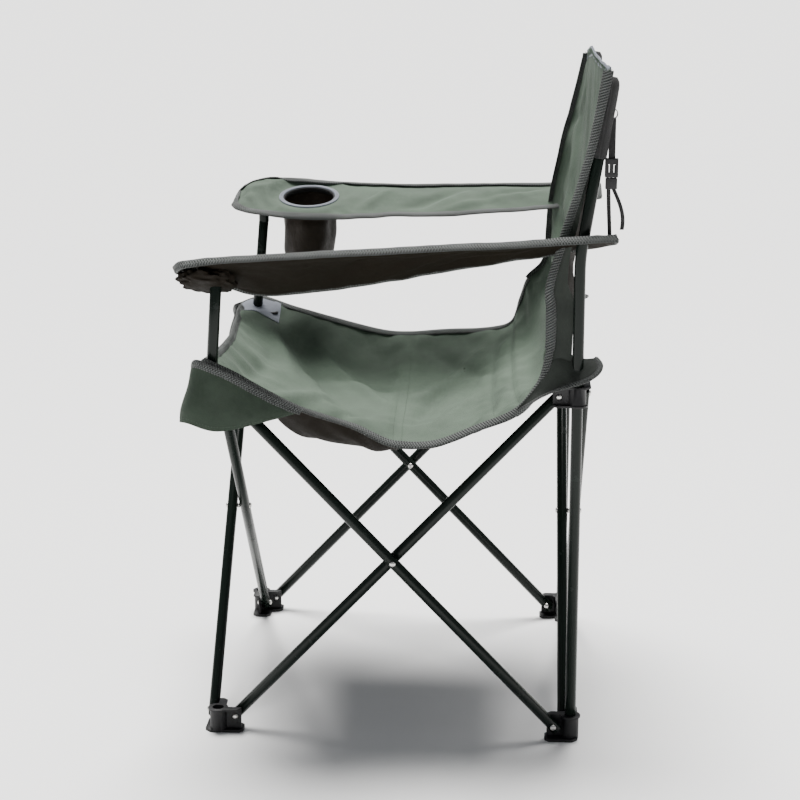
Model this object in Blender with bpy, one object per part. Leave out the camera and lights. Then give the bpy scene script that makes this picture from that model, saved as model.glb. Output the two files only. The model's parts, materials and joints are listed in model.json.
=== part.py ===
"""Folding camp chair: four scissor pairs of steel tube between plastic corner mouldings,
with a fabric seat, back and arms. Metres, +Z up, the sitter faces -Y, +X is the sitter's left.
The origin lies on the ground below the middle of the chair."""

import math

import bmesh
import bpy
from mathutils import Matrix, Vector

# Driving dimensions
TUBE_R = 0.008
TUBE_WALL = 0.001
PIN_HALF = 0.233  # from the middle plane to each brace's end pin
LUG = 0.025  # from a moulding's end pin to its socket's axis
CORNER = PIN_HALF + LUG
FOOT_PIN_Z = 0.022
HUB_PIN_Z = 0.512
PLANE_OFFSET = 0.010  # from a web's middle plane to the brace beside it
BRACE_END = 0.009  # tube left beyond each end pin
PIN_R = 0.0025
GAP = 0.0003
RIVET_HEAD_R = 0.0042
RIVET_HEAD = 0.0022
WASHER_R = 0.006
WASHER_HALF = 0.0016

# Corner mouldings
SOCKET_R = 0.0125
SOCKET_BORE = TUBE_R + GAP
SLIDER_BORE = TUBE_R + 0.0013
WEB = 0.003
LUG_REACH = 0.034
FOOT_HEIGHT = 0.036
FOOT_FLOOR = 0.005
FOOT_PLATE = 0.004
TOP_PLATE = 0.003
HUB_BELOW_PIN = 0.014
HUB_ABOVE_PIN = 0.0155
FLANGE_R = 0.0148
PLATE_END = 0.037  # from the socket's axis to the end of each arm of an L-shaped plate
PLATE_NEAR = 0.011  # half width on the side that no brace passes
PLATE_FAR = 0.019  # half width on the side of the brace
PLATE_CHAMFER = 0.006
PLATE_CORNER = 0.008
HALF_PLATE = 0.0105
OVER = 0.0005  # how far one solid of a union reaches into the next
CUT = 0.02  # how far a cutter reaches past what it cuts
SOCKET_SIDES = 20
BORE_SIDES = 16
TUBE_SIDES = 12
HOLE_SIDES = 8
RIVET_SIDES = 8

# Posts
BACK_POST_TOP_Z = 0.941
BEND_Z = 0.690
BEND_R = 0.25
BEND_ANGLE = math.radians(9.0)
ARM_POST_TOP = Vector((0.270, -0.2445, 0.680))

# Fabric
SEAT_HALF = 0.236
SEAT_REAR = 0.2165  # the back panels start behind it
SEAT_CORNER_Z = 0.535
SEAT_EDGE_Z = 0.470
SEAT_MIDDLE_Z = 0.440
SEAT_STEPS = 5
CLOTH = 0.003
BACK_HALF = 0.238
BACK_LOW_Z = 0.515
BACK_TOP_Z = 0.962
BACK_MIDDLE_Z = 0.976
BACK_FORWARD = 0.040  # how far the lower back stands in front of the posts
BACK_MEETS_Z = (0.66, 0.82)  # where the back starts to near the posts, and where it reaches them
BACK_BEHIND = 0.004
BACK_STEPS = (3, 7)
ARM_OUTER_X = 0.324
ARM_INNER_X = 0.222
ARM_FRONT_Y = -0.293
ARM_REAR_Y = 0.308
ARM_SPLIT_Y = 0.070
ARM_TAPER = 0.022  # how much narrower each arm is at its rear, on each side
ARM_INNER_Z = (0.688, 0.726)  # inner edge, front and rear
ARM_OUTER_Z = (0.722, 0.740)  # outer edge, front and rear
ARM_HANG_Z = 0.735  # where each arm meets its back post
ARM_STEPS = (4, 6)
ARM_SLAB = 0.005
ARM_HOLE_R = 0.0092
CUP_X = -0.268
CUP_Y = -0.172
CUP_R = 0.0485
CUP_RING = 0.005
CUP_DEPTH = 0.102
CUP_WALL = 0.002
CUP_SIDES = 24
CUP_TILT = math.radians(13.4)
CUP_RIM = (-0.0068, 0.0022)  # bottom and top of the ring, from its middle
CUP_TAPER_START = 0.86  # of the pocket's depth
CUP_FLOOR_SHARE = 0.80  # of the pocket's radius
CUP_INSET = 0.003
FLAP_X = 0.284
FLAP_FRONT_Y = -0.308
FLAP_BACK_Y = -0.188
FLAP_LOW_Z = 0.458
FLAP_TOP_Z = 0.552
FLAP_WALL = 0.003
FLAP_INNER_X = 0.232
FLAP_CHAMFER = 0.010

# Buckle on its strap, behind the left back post
STRAP_TOP = Vector((0.258, 0.2975, 0.900))
STRAP_W = 0.010
STRAP_T = 0.0016
BUCKLE_TOP_Z = 0.846
BUCKLE_W = 0.018
BUCKLE_D = 0.0085
SOCKET_L = 0.026
SOCKET_SKIN = (0.0016, 0.002, 0.006)  # front wall, side wall and top of the buckle's socket
CLIP_L = 0.016
CLIP_INSET = (0.0005, 0.001, 0.0008)  # how much smaller the clip's body is than the socket, and its gap
PRONG = (0.0026, 0.0054)  # from the clip's edge to each side of an outer prong
PRONG_REACH = 0.009  # from the buckle's top to the outer prongs' ends
MIDDLE_PRONG_HALF = 0.0016
MIDDLE_PRONG_REACH = 0.012
TAIL_POINTS = 10
TAIL_L = 0.066
TAIL_APART = 0.0035
TAIL_DRIFT = 0.004
TAIL_SWAY = 0.002
TAIL_HALF = (0.0007, 0.0028)

SIDES = {"left": 1, "right": -1}
BRACE_LENGTH = math.hypot(2 * PIN_HALF, HUB_PIN_Z - FOOT_PIN_Z)
FACET = math.cos(math.pi / BORE_SIDES)  # a faceted bore's flats stand this much nearer its axis


def clear_scene():
    for obj in list(bpy.data.objects):
        bpy.data.objects.remove(obj, do_unlink=True)


def material(name, colour, roughness, metallic=0.0):
    made = bpy.data.materials.new(name)
    made.use_nodes = True
    shader = made.node_tree.nodes["Principled BSDF"]
    shader.inputs["Base Color"].default_value = (*colour, 1.0)
    shader.inputs["Roughness"].default_value = roughness
    shader.inputs["Metallic"].default_value = metallic
    return made


def add_object(name, mesh, look, place=None):
    obj = bpy.data.objects.new(name, mesh)
    bpy.context.scene.collection.objects.link(obj)
    if look is not None and not mesh.materials:
        mesh.materials.append(look)
    if place is not None:
        obj.matrix_world = place
    return obj


def mesh_from(name, shape):
    """A mesh of the bmesh's faces, turned outwards, with round stretches shaded smooth."""
    bmesh.ops.recalc_face_normals(shape, faces=shape.faces)
    mesh = bpy.data.meshes.new(name)
    shape.to_mesh(mesh)
    shape.free()
    mesh.shade_smooth()
    mesh.set_sharp_from_angle(angle=math.radians(35))
    return mesh


def skin_rings(rings, caps=True):
    """Faces between each ring of points and the next. Without caps the last ring joins the first."""
    shape = bmesh.new()
    made = [[shape.verts.new(point) for point in ring] for ring in rings]
    count = len(made[0])
    pairs = list(zip(made, made[1:])) + ([] if caps else [(made[-1], made[0])])
    for low, high in pairs:
        for i in range(count):
            k = (i + 1) % count
            shape.faces.new((low[i], low[k], high[k], high[i]))
    if caps:
        shape.faces.new(made[0])
        shape.faces.new(made[-1])
    return shape


def circle(radius, sides, z=0.0, turn=0.0):
    return [
        Vector((radius * math.cos(a), radius * math.sin(a), z))
        for a in (turn + math.tau * i / sides for i in range(sides))
    ]


def prism(outline, z0, z1):
    """An outline in plan, raised from z0 to z1."""
    return skin_rings([[Vector((x, y, z)) for x, y in outline] for z in (z0, z1)])


def box(low, high):
    corners = [(low[0], low[1]), (high[0], low[1]), (high[0], high[1]), (low[0], high[1])]
    return prism(corners, low[2], high[2])


def cylinder(radius, z0, z1, sides):
    return skin_rings([circle(radius, sides, z) for z in (z0, z1)])


def turned(profile, sides):
    """A solid of revolution about Z from (radius, z) pairs, the first and last on the axis or capped."""
    return skin_rings([circle(radius, sides, z) for radius, z in profile])


def moved(shape, matrix):
    bmesh.ops.transform(shape, matrix=matrix, verts=shape.verts)
    return shape


def helper(name, shape):
    """A solid that only takes part in Booleans."""
    obj = add_object(name, mesh_from(name, shape), None)
    obj.hide_render = True
    obj.display_type = "WIRE"
    return obj


def combined(name, base, added=(), cut=()):
    """One mesh from a base solid, solids added to it and solids cut from it."""
    start = helper(name + "_base", base)
    for kind, shapes in (("UNION", added), ("DIFFERENCE", cut)):
        for number, shape in enumerate(shapes):
            other = helper(f"{name}_{kind.lower()}_{number}", shape)
            step = start.modifiers.new(other.name, "BOOLEAN")
            step.operation = kind
            step.object = other
    graph = bpy.context.evaluated_depsgraph_get()
    mesh = bpy.data.meshes.new_from_object(start.evaluated_get(graph))
    mesh.name = name
    for obj in [start] + [step.object for step in start.modifiers]:
        bpy.data.objects.remove(obj, do_unlink=True)
    mesh.shade_smooth()
    mesh.set_sharp_from_angle(angle=math.radians(35))
    return mesh


def along(direction):
    """The turn that takes +Z to a direction."""
    return Vector(direction).to_track_quat("Z", "Y").to_matrix().to_4x4()


X_AXIS_TURN = along((1, 0, 0))
Y_AXIS_TURN = along((0, 1, 0))


def pin_hole(axis_turn, centre, z):
    """A cutter for a rivet's hole."""
    hole = cylinder((PIN_R + GAP) / math.cos(math.pi / HOLE_SIDES), -CUT, CUT, HOLE_SIDES)
    return moved(hole, Matrix.Translation((*centre, z)) @ axis_turn)


def lug_outline(tube_side):
    """The L-shaped plate of a moulding in plan: one arm along +Y, one along -X, chamfered ends.
    Each arm reaches under the brace on its tube side."""
    low, high = (-PLATE_FAR, PLATE_NEAR) if tube_side < 0 else (-PLATE_NEAR, PLATE_FAR)
    end, chamfer = PLATE_END, PLATE_CHAMFER
    return [
        (-end, low + chamfer),
        (-end + chamfer, low),
        (high - PLATE_CORNER, low),
        (high, low + PLATE_CORNER),
        (high, end - chamfer),
        (high - chamfer, end),
        (low + chamfer, end),
        (low, end - chamfer),
        (low, high),
        (-end + chamfer, high),
        (-end, high - chamfer),
    ]


def half_plates(tube_side, z0, z1):
    """Plates beside the webs, on the side that no brace passes."""
    near, reach, chamfer = -tube_side * HALF_PLATE, LUG_REACH, PLATE_CHAMFER
    cut = -tube_side * chamfer
    along_y = [(0, 0), (near, 0), (near, reach - chamfer), (near - cut, reach), (0, reach)]
    along_x = [(0, 0), (0, near), (-reach + chamfer, near), (-reach, near - cut), (-reach, 0)]
    return [prism(along_y, z0, z1), prism(along_x, z0, z1)]


def webs(z0, z1):
    half = WEB / 2
    return [
        box((-half, 0.0, z0), (half, LUG_REACH, z1)),
        box((-LUG_REACH, -half, z0), (0.0, half, z1)),
    ]


def lug_pin_holes(z):
    return [pin_hole(X_AXIS_TURN, (0.0, LUG), z), pin_hole(Y_AXIS_TURN, (-LUG, 0.0), z)]


def foot_mesh():
    """The lower corner moulding for the front left, with its socket's axis on Z and its base at 0."""
    tube_side = -1
    return combined(
        "foot",
        cylinder(SOCKET_R, 2 * OVER, FOOT_HEIGHT, SOCKET_SIDES),
        [
            prism(lug_outline(tube_side), 0.0, FOOT_PLATE),
            *webs(FOOT_PLATE - OVER, FOOT_HEIGHT - OVER),
            *half_plates(tube_side, FOOT_HEIGHT - TOP_PLATE, FOOT_HEIGHT - OVER / 5),
            cylinder(FLANGE_R, FOOT_HEIGHT - TOP_PLATE + OVER / 5, FOOT_HEIGHT - OVER / 2, SOCKET_SIDES),
        ],
        [
            cylinder(SOCKET_BORE / FACET, FOOT_FLOOR, FOOT_HEIGHT + CUT, BORE_SIDES),
            *lug_pin_holes(FOOT_PIN_Z),
        ],
    )


def hub_mesh(name, bore, bore_turn):
    """An upper corner moulding for the front left, with its pins at height 0."""
    tube_side = 1
    low, high = -HUB_BELOW_PIN, HUB_ABOVE_PIN
    return combined(
        name,
        cylinder(SOCKET_R, low, high - 2 * OVER, SOCKET_SIDES),
        [
            prism(lug_outline(tube_side), high - TOP_PLATE, high),
            *webs(low + OVER, high - TOP_PLATE + OVER),
            *half_plates(tube_side, low + OVER / 5, low + TOP_PLATE),
            cylinder(FLANGE_R, low + OVER / 2, low + TOP_PLATE - OVER / 5, SOCKET_SIDES),
        ],
        [moved(cylinder(bore / FACET, -2 * CUT, 2 * CUT, BORE_SIDES), bore_turn), *lug_pin_holes(0.0)],
    )


def hollow_path(path, radius, wall, sides=TUBE_SIDES):
    """A tube along a path of points, open at both ends."""
    turns = []
    for i, point in enumerate(path):
        ahead = path[min(i + 1, len(path) - 1)] - path[max(i - 1, 0)]
        turns.append(Matrix.Translation(point) @ along(ahead))
    outer = [[turn @ p for p in circle(radius, sides)] for turn in turns]
    inner = [[turn @ p for p in circle(radius - wall, sides)] for turn in turns]
    return skin_rings(outer + inner[::-1], caps=False)


def back_post_path():
    """Upright from the foot to the bend, then leaning back to the top."""
    start = Vector((0, 0, FOOT_FLOOR + GAP))
    path = [start, Vector((0, 0, BEND_Z))]
    steps = 5
    for i in range(1, steps + 1):
        angle = BEND_ANGLE * i / steps
        path.append(Vector((0, BEND_R * (1 - math.cos(angle)), BEND_Z + BEND_R * math.sin(angle))))
    last = path[-1]
    rise = BACK_POST_TOP_Z - last.z
    path.append(last + Vector((0, rise * math.tan(BEND_ANGLE), rise)))
    return path


def back_line_y(z):
    """How far back the upper post stands at a height, from the upright part."""
    start = BEND_Z + BEND_R * math.sin(BEND_ANGLE)
    if z <= BEND_Z:
        return 0.0
    if z < start:
        return BEND_R - math.sqrt(BEND_R**2 - (z - BEND_Z) ** 2)
    return BEND_R * (1 - math.cos(BEND_ANGLE)) + (z - start) * math.tan(BEND_ANGLE)


def brace_mesh():
    """A straight tube with its middle at the origin and a rivet hole across X at its middle and ends."""
    half = BRACE_LENGTH / 2
    path = [Vector((0, 0, -half - BRACE_END)), Vector((0, 0, half + BRACE_END))]
    holes = [pin_hole(X_AXIS_TURN, (0.0, 0.0), z) for z in (-half, 0.0, half)]
    return combined("brace", hollow_path(path, TUBE_R, TUBE_WALL), [], holes)


def rivet_mesh(name, low, high, collar=0.0):
    """A rivet along Z with a domed head below low and above high, and a washer of that half thickness."""
    dome = [(RIVET_HEAD_R * 0.6, -RIVET_HEAD), (RIVET_HEAD_R, 0.0)]
    profile = [(r, low + z) for r, z in dome] + [(PIN_R, low)]
    if collar:
        profile += [(PIN_R, -collar), (WASHER_R, -collar), (WASHER_R, collar), (PIN_R, collar)]
    profile += [(PIN_R, high)] + [(r, high - z) for r, z in reversed(dome)]
    return mesh_from(name, turned(profile, RIVET_SIDES))


def brace_turn(across, lean):
    """The turn of a brace whose rivets lie along an axis, 'x' or 'y', and whose top leans that way."""
    slope = math.atan2(2 * PIN_HALF, HUB_PIN_Z - FOOT_PIN_Z)
    if across == "x":
        return Matrix.Rotation(-lean * slope, 4, "X")
    return Matrix.Rotation(lean * slope, 4, "Y") @ Matrix.Rotation(math.radians(90), 4, "Z")


def braces_and_rivets(looks):
    """Each pair of crossed braces, its middle rivet and its four end rivets."""
    brace = brace_mesh()
    middle_z = (FOOT_PIN_Z + HUB_PIN_Z) / 2
    reach = PLANE_OFFSET + TUBE_R + GAP
    inner = WEB / 2 + GAP
    middle = rivet_mesh("middle_rivet", -reach, reach, WASHER_HALF)
    end = rivet_mesh("end_rivet", -inner, reach)
    # pair name, pin axis, sign of its plane, then each brace: name, which way its top leans, side
    pairs = (
        ("left", "x", 1, (("rear_foot", -1, 1), ("front_foot", 1, -1))),
        ("right", "x", -1, (("rear_foot", -1, -1), ("front_foot", 1, 1))),
        ("back", "y", 1, (("left_foot", -1, -1), ("right_foot", 1, 1))),
        ("front", "y", -1, (("left_foot", -1, 1), ("right_foot", 1, -1))),
    )
    for pair, across, side, members in pairs:
        flat = Vector((side * CORNER, 0)) if across == "x" else Vector((0, side * CORNER))
        normal = Vector((1, 0)) if across == "x" else Vector((0, 1))
        run = Vector((0, 1)) if across == "x" else Vector((1, 0))
        pin_turn = X_AXIS_TURN if across == "x" else Y_AXIS_TURN
        centre = Matrix.Translation((*flat, middle_z))
        add_object(f"rivet_{pair}_middle", middle, looks["zinc"], centre @ pin_turn)
        for name, lean, out in members:
            out_sign = out * side
            spot = flat + normal * PLANE_OFFSET * out_sign
            place = Matrix.Translation((*spot, middle_z)) @ brace_turn(across, lean)
            add_object(f"brace_{pair}_{name}", brace, looks["tube"], place)
            face = pin_turn if out_sign > 0 else pin_turn @ Matrix.Rotation(math.pi, 4, "X")
            for height, end_name, way in ((FOOT_PIN_Z, "low", -lean), (HUB_PIN_Z, "top", lean)):
                pin = flat + run * PIN_HALF * way
                here = Matrix.Translation((*pin, height)) @ face
                add_object(f"rivet_{pair}_{name}_{end_name}", end, looks["zinc"], here)


def corner_turns():
    """Corner name, the socket's place in plan, and the turn from the front left one."""
    return (
        ("front_left", (CORNER, -CORNER), 0.0),
        ("back_left", (CORNER, CORNER), math.pi / 2),
        ("back_right", (-CORNER, CORNER), math.pi),
        ("front_right", (-CORNER, -CORNER), -math.pi / 2),
    )


def arm_post_run(side):
    foot = Vector((side * CORNER, -CORNER, HUB_PIN_Z))
    top = Vector((side * ARM_POST_TOP.x, ARM_POST_TOP.y, ARM_POST_TOP.z))
    return foot, (top - foot).normalized(), (top - foot).length


def mouldings_and_posts(looks):
    foot = foot_mesh()
    slider = hub_mesh("slider", SLIDER_BORE, Matrix.Identity(4))
    post = mesh_from("back_post", hollow_path(back_post_path(), TUBE_R, TUBE_WALL))
    for name, spot, turn in corner_turns():
        spin = Matrix.Rotation(turn, 4, "Z")
        add_object(f"foot_{name}", foot, looks["plastic"], Matrix.Translation((*spot, 0)) @ spin)
        at_pin = Matrix.Translation((*spot, HUB_PIN_Z))
        if name.startswith("back"):
            add_object(f"slider_{name}", slider, looks["plastic"], at_pin @ spin)
            add_object(f"post_{name}", post, looks["tube"], Matrix.Translation((*spot, 0)))
            continue
        base, direction, length = arm_post_run(1 if name.endswith("left") else -1)
        bore_turn = spin.inverted() @ along(direction)
        hub = hub_mesh(f"hub_{name}", SOCKET_BORE, bore_turn)
        add_object(f"hub_{name}", hub, looks["plastic"], at_pin @ spin)
        start = direction * (-HUB_BELOW_PIN + 0.002)
        tube = hollow_path([start, direction * length], TUBE_R, TUBE_WALL)
        add_object(f"arm_post_{name[6:]}", mesh_from("arm_post", tube), looks["tube"], at_pin)


def slab(grid, thickness, normal):
    """A closed sheet from rows of points, thickened against the normal."""
    shape = bmesh.new()
    top = [[shape.verts.new(p) for p in row] for row in grid]
    low = [[shape.verts.new(p - normal * thickness) for p in row] for row in grid]
    rows, columns = len(grid), len(grid[0])
    for sheet, flip in ((top, False), (low, True)):
        for i in range(rows - 1):
            for k in range(columns - 1):
                loop = [sheet[i][k], sheet[i][k + 1], sheet[i + 1][k + 1], sheet[i + 1][k]]
                shape.faces.new(loop[::-1] if flip else loop)
    border = [(0, k) for k in range(columns - 1)] + [(i, columns - 1) for i in range(rows - 1)]
    border += [(rows - 1, k) for k in range(columns - 1, 0, -1)] + [(i, 0) for i in range(rows - 1, 0, -1)]
    for (i, k), (m, n) in zip(border, border[1:] + border[:1]):
        shape.faces.new((top[i][k], top[m][n], low[m][n], low[i][k]))
    return shape


def seat_height(x, y):
    """The hammock's surface: high at the corners, lower along the edges, lowest in the middle."""
    u, v = min(abs(x) / SEAT_HALF, 1), min(abs(y) / SEAT_HALF, 1)
    edge = SEAT_EDGE_Z - SEAT_MIDDLE_Z
    rise = SEAT_CORNER_Z - SEAT_EDGE_Z
    return SEAT_MIDDLE_Z + edge * max(u, v) ** 2 + rise * (u * v) ** 2


def seat_panels(looks):
    """Four quarters of the seat, each hung from its own corner."""
    for name, spot, _ in corner_turns():
        sx, sy = math.copysign(1, spot[0]), math.copysign(1, spot[1])
        origin = Vector((*spot, SEAT_CORNER_Z))
        reach = SEAT_HALF if sy < 0 else SEAT_REAR
        across = [GAP + (SEAT_HALF - GAP) * i / SEAT_STEPS for i in range(SEAT_STEPS + 1)]
        deep = [GAP + (reach - GAP) * i / SEAT_STEPS for i in range(SEAT_STEPS + 1)]
        grid = [[Vector((sx * a, sy * b, seat_height(a, b))) - origin for a in across] for b in deep]
        shape = slab(grid, CLOTH, Vector((0, 0, 1)))
        mesh = mesh_from(f"seat_{name}", shape)
        add_object(f"seat_{name}", mesh, looks["canvas"], Matrix.Translation(origin))


def back_panels(looks):
    """Two halves of the back, between the posts: forward of them at the seat, level with them above."""
    steps_x, steps_z = BACK_STEPS
    meets_low, meets_high = BACK_MEETS_Z
    for name, side in SIDES.items():
        origin = Vector((side * CORNER, CORNER, BACK_LOW_Z))
        grid = []
        for k in range(steps_z + 1):
            t = k / steps_z
            row = []
            for i in range(steps_x + 1):
                u = i / steps_x
                x = GAP + (BACK_HALF - GAP) * u
                top = BACK_MIDDLE_Z + (BACK_TOP_Z - BACK_MIDDLE_Z) * u
                z = BACK_LOW_Z + (top - BACK_LOW_Z) * t
                share = min(max((meets_high - z) / (meets_high - meets_low), 0.0), 1.0)
                y = CORNER + back_line_y(z) - BACK_FORWARD * share + BACK_BEHIND
                row.append(Vector((side * x, y, z)) - origin)
            grid.append(row)
        shape = slab(grid, CLOTH, Vector((0, 1, 0)))
        mesh = mesh_from(f"back_{name}", shape)
        add_object(f"back_{name}", mesh, looks["canvas"], Matrix.Translation(origin))


def arm_surface(u, y):
    """A point on an arm's upper face: u is 0 at the inner edge and 1 at the outer edge."""
    t = (y - ARM_FRONT_Y) / (ARM_REAR_Y - ARM_FRONT_Y)
    inner_x = ARM_INNER_X + ARM_TAPER * t
    outer_x = ARM_OUTER_X - ARM_TAPER * t
    inner_z = ARM_INNER_Z[0] + (ARM_INNER_Z[1] - ARM_INNER_Z[0]) * t
    outer_z = ARM_OUTER_Z[0] + (ARM_OUTER_Z[1] - ARM_OUTER_Z[0]) * t
    z = inner_z + (outer_z - inner_z) * math.sin(u * math.pi / 2)
    return Vector((inner_x + (outer_x - inner_x) * u, y, z))


def arm_panel(side, y0, y1, origin, mesh_name, cuts):
    steps_x, steps_y = ARM_STEPS
    grid = []
    for k in range(steps_y + 1):
        row = []
        for i in range(steps_x + 1):
            point = arm_surface(i / steps_x, y0 + (y1 - y0) * k / steps_y)
            row.append(Vector((side * point.x, point.y, point.z)) - origin)
        grid.append(row)
    return combined(mesh_name, slab(grid, ARM_SLAB, Vector((0, 0, 1))), [], cuts)


def cup_place():
    point = arm_surface((abs(CUP_X) - ARM_INNER_X) / (ARM_OUTER_X - ARM_INNER_X), CUP_Y)
    return Matrix.Translation((CUP_X, CUP_Y, point.z)) @ Matrix.Rotation(CUP_TILT, 4, "Y")


def arm_panels(looks):
    """Each arm in two lengths: one hung on the arm post, one on the back post."""
    for name, side in SIDES.items():
        front_origin = Vector((side * ARM_POST_TOP.x, ARM_POST_TOP.y, ARM_POST_TOP.z))
        rear_origin = Vector((side * CORNER, CORNER, ARM_HANG_Z))
        front_cuts, rear_cuts = [], []
        if side < 0:
            radius = (CUP_R + GAP) / math.cos(math.pi / CUP_SIDES)
            hole = moved(cylinder(radius, -CUT, CUT, CUP_SIDES), cup_place())
            front_cuts.append(moved(hole, Matrix.Translation(-front_origin)))
        lean = Vector((0, math.sin(BEND_ANGLE), math.cos(BEND_ANGLE)))
        post_spot = Vector((0, back_line_y(ARM_HANG_Z), 0))
        turn = Matrix.Translation(post_spot) @ along(lean)
        rear_cuts.append(moved(cylinder(ARM_HOLE_R, -2 * CUT, 2 * CUT, BORE_SIDES), turn))
        split = ARM_SPLIT_Y
        front = arm_panel(side, ARM_FRONT_Y, split - GAP, front_origin, f"arm_{name}_front", front_cuts)
        rear = arm_panel(side, split, ARM_REAR_Y, rear_origin, f"arm_{name}_rear", rear_cuts)
        add_object(f"arm_{name}_front", front, looks["canvas"], Matrix.Translation(front_origin))
        add_object(f"arm_{name}_rear", rear, looks["canvas"], Matrix.Translation(rear_origin))


def cup_holder(looks):
    """A bound ring in the right arm, and the open pocket hung from it."""
    rim_low, rim_high = CUP_RIM
    inside = CUP_R - CUP_RING
    outline = [(CUP_R, rim_low), (CUP_R, rim_high), (inside, rim_high), (inside, rim_low)]
    ring = skin_rings([circle(radius, CUP_SIDES, z) for radius, z in outline], caps=False)
    add_object("cup_ring", mesh_from("cup_ring", ring), looks["binding"], cup_place())
    wall, top = CUP_WALL, rim_low - GAP
    radius, floor_radius = CUP_R - CUP_INSET, (CUP_R - CUP_INSET) * CUP_FLOOR_SHARE
    taper_z = -CUP_DEPTH * CUP_TAPER_START
    outline = [
        (radius, top),
        (radius, taper_z),
        (floor_radius, -CUP_DEPTH),
        (floor_radius - wall, -CUP_DEPTH + wall),
        (radius - wall, taper_z + wall),
        (radius - wall, top),
    ]
    tilt = Matrix.Rotation(CUP_TILT, 4, "Y")
    rings = [circle(r, CUP_SIDES, z) for r, z in outline]
    for mouth in (0, 5):  # the mouth follows the ring's tilt, and the rest hangs straight down
        rings[mouth] = [tilt @ point for point in rings[mouth]]
    shape = bmesh.new()
    made = [[shape.verts.new(point) for point in ring] for ring in rings]
    for low, high in ((0, 1), (1, 2), (3, 4), (4, 5), (5, 0)):
        for i in range(CUP_SIDES):
            k = (i + 1) % CUP_SIDES
            shape.faces.new((made[low][i], made[low][k], made[high][k], made[high][i]))
    shape.faces.new(made[2])
    shape.faces.new(made[3])
    pocket = mesh_from("cup_pocket", shape)
    add_object("cup_pocket", pocket, looks["lining"], Matrix.Translation(cup_place().translation))


def corner_flaps(looks):
    """The seat's front corners hang outside the hubs as bent flaps."""
    for name, side in SIDES.items():
        wall, near, chamfer = FLAP_WALL, FLAP_INNER_X, FLAP_CHAMFER
        inner = chamfer + wall * math.tan(math.pi / 8)  # keeps the wall even past the chamfer
        outline = [
            (FLAP_X, FLAP_BACK_Y),
            (FLAP_X, FLAP_FRONT_Y + chamfer),
            (FLAP_X - chamfer, FLAP_FRONT_Y),
            (near, FLAP_FRONT_Y),
            (near, FLAP_FRONT_Y + wall),
            (FLAP_X - inner, FLAP_FRONT_Y + wall),
            (FLAP_X - wall, FLAP_FRONT_Y + inner),
            (FLAP_X - wall, FLAP_BACK_Y),
        ]
        origin = Vector((side * CORNER, -CORNER, SEAT_CORNER_Z))
        points = [(side * x - origin.x, y - origin.y) for x, y in outline]
        shape = prism(points, FLAP_LOW_Z - origin.z, FLAP_TOP_Z - origin.z)
        mesh = mesh_from("corner_flap", shape)
        add_object(f"corner_flap_{name}", mesh, looks["canvas"], Matrix.Translation(origin))


def strap_and_buckle(looks):
    """A side-release buckle that hangs from a webbing loop on the left back post."""
    half_w, half_t = STRAP_W / 2, STRAP_T / 2
    drop = BUCKLE_TOP_Z - STRAP_TOP.z
    place = Matrix.Translation(STRAP_TOP)
    loop = box((-half_w, -half_t, drop + GAP), (half_w, half_t, 0.0))
    add_object("strap_loop", mesh_from("strap_loop", loop), looks["webbing"], place)
    half_d, half_b = BUCKLE_D / 2, BUCKLE_W / 2
    mouth = drop - SOCKET_L
    skin_d, skin_b, skin_top = SOCKET_SKIN
    cavity_low = (-half_d + skin_d, -half_b + skin_b, mouth - CUT)
    cavity_high = (half_d - skin_d, half_b - skin_b, drop - skin_top)
    shell = box((-half_d, -half_b, mouth), (half_d, half_b, drop))
    socket = combined("buckle_socket", shell, [], [box(cavity_low, cavity_high)])
    add_object("buckle_socket", socket, looks["plastic"], place)
    inset_d, inset_b, gap = CLIP_INSET
    clip_d, clip_b, low = half_d - inset_d, half_b - inset_b, mouth - CLIP_L
    tongue, start = half_d - skin_d - OVER, mouth - 2 * FLAP_WALL
    outer, inner = half_b - PRONG[0], half_b - PRONG[1]
    middle = MIDDLE_PRONG_HALF
    clip = combined(
        "buckle_clip",
        box((-clip_d, -clip_b, low), (clip_d, clip_b, mouth - gap)),
        [
            box((-tongue, -outer, start), (tongue, -inner, drop - PRONG_REACH)),
            box((-tongue, inner, start), (tongue, outer, drop - PRONG_REACH)),
            box((-tongue, -middle, start), (tongue, middle, drop - MIDDLE_PRONG_REACH)),
        ],
    )
    add_object("buckle_clip", clip, looks["plastic"], place)
    for name, way in (("front", -1), ("rear", 1)):
        shape = skin_rings(tail_rings(way, low - GAP))
        add_object(f"strap_tail_{name}", mesh_from("strap_tail", shape), looks["webbing"], place)


def tail_rings(way, low):
    """One webbing tail below the buckle: it leaves straight down and drifts a little to its side."""
    rings = []
    half_t, half_w = TAIL_HALF
    for i in range(TAIL_POINTS):
        t = i / (TAIL_POINTS - 1)
        x = way * TAIL_SWAY * math.sin(math.pi * t)
        y = way * (TAIL_APART + TAIL_DRIFT * t * t)
        z = low - TAIL_L * t
        rings.append([
            Vector((x - half_t, y - half_w, z)),
            Vector((x + half_t, y - half_w, z)),
            Vector((x + half_t, y + half_w, z)),
            Vector((x - half_t, y + half_w, z)),
        ])
    return rings


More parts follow.
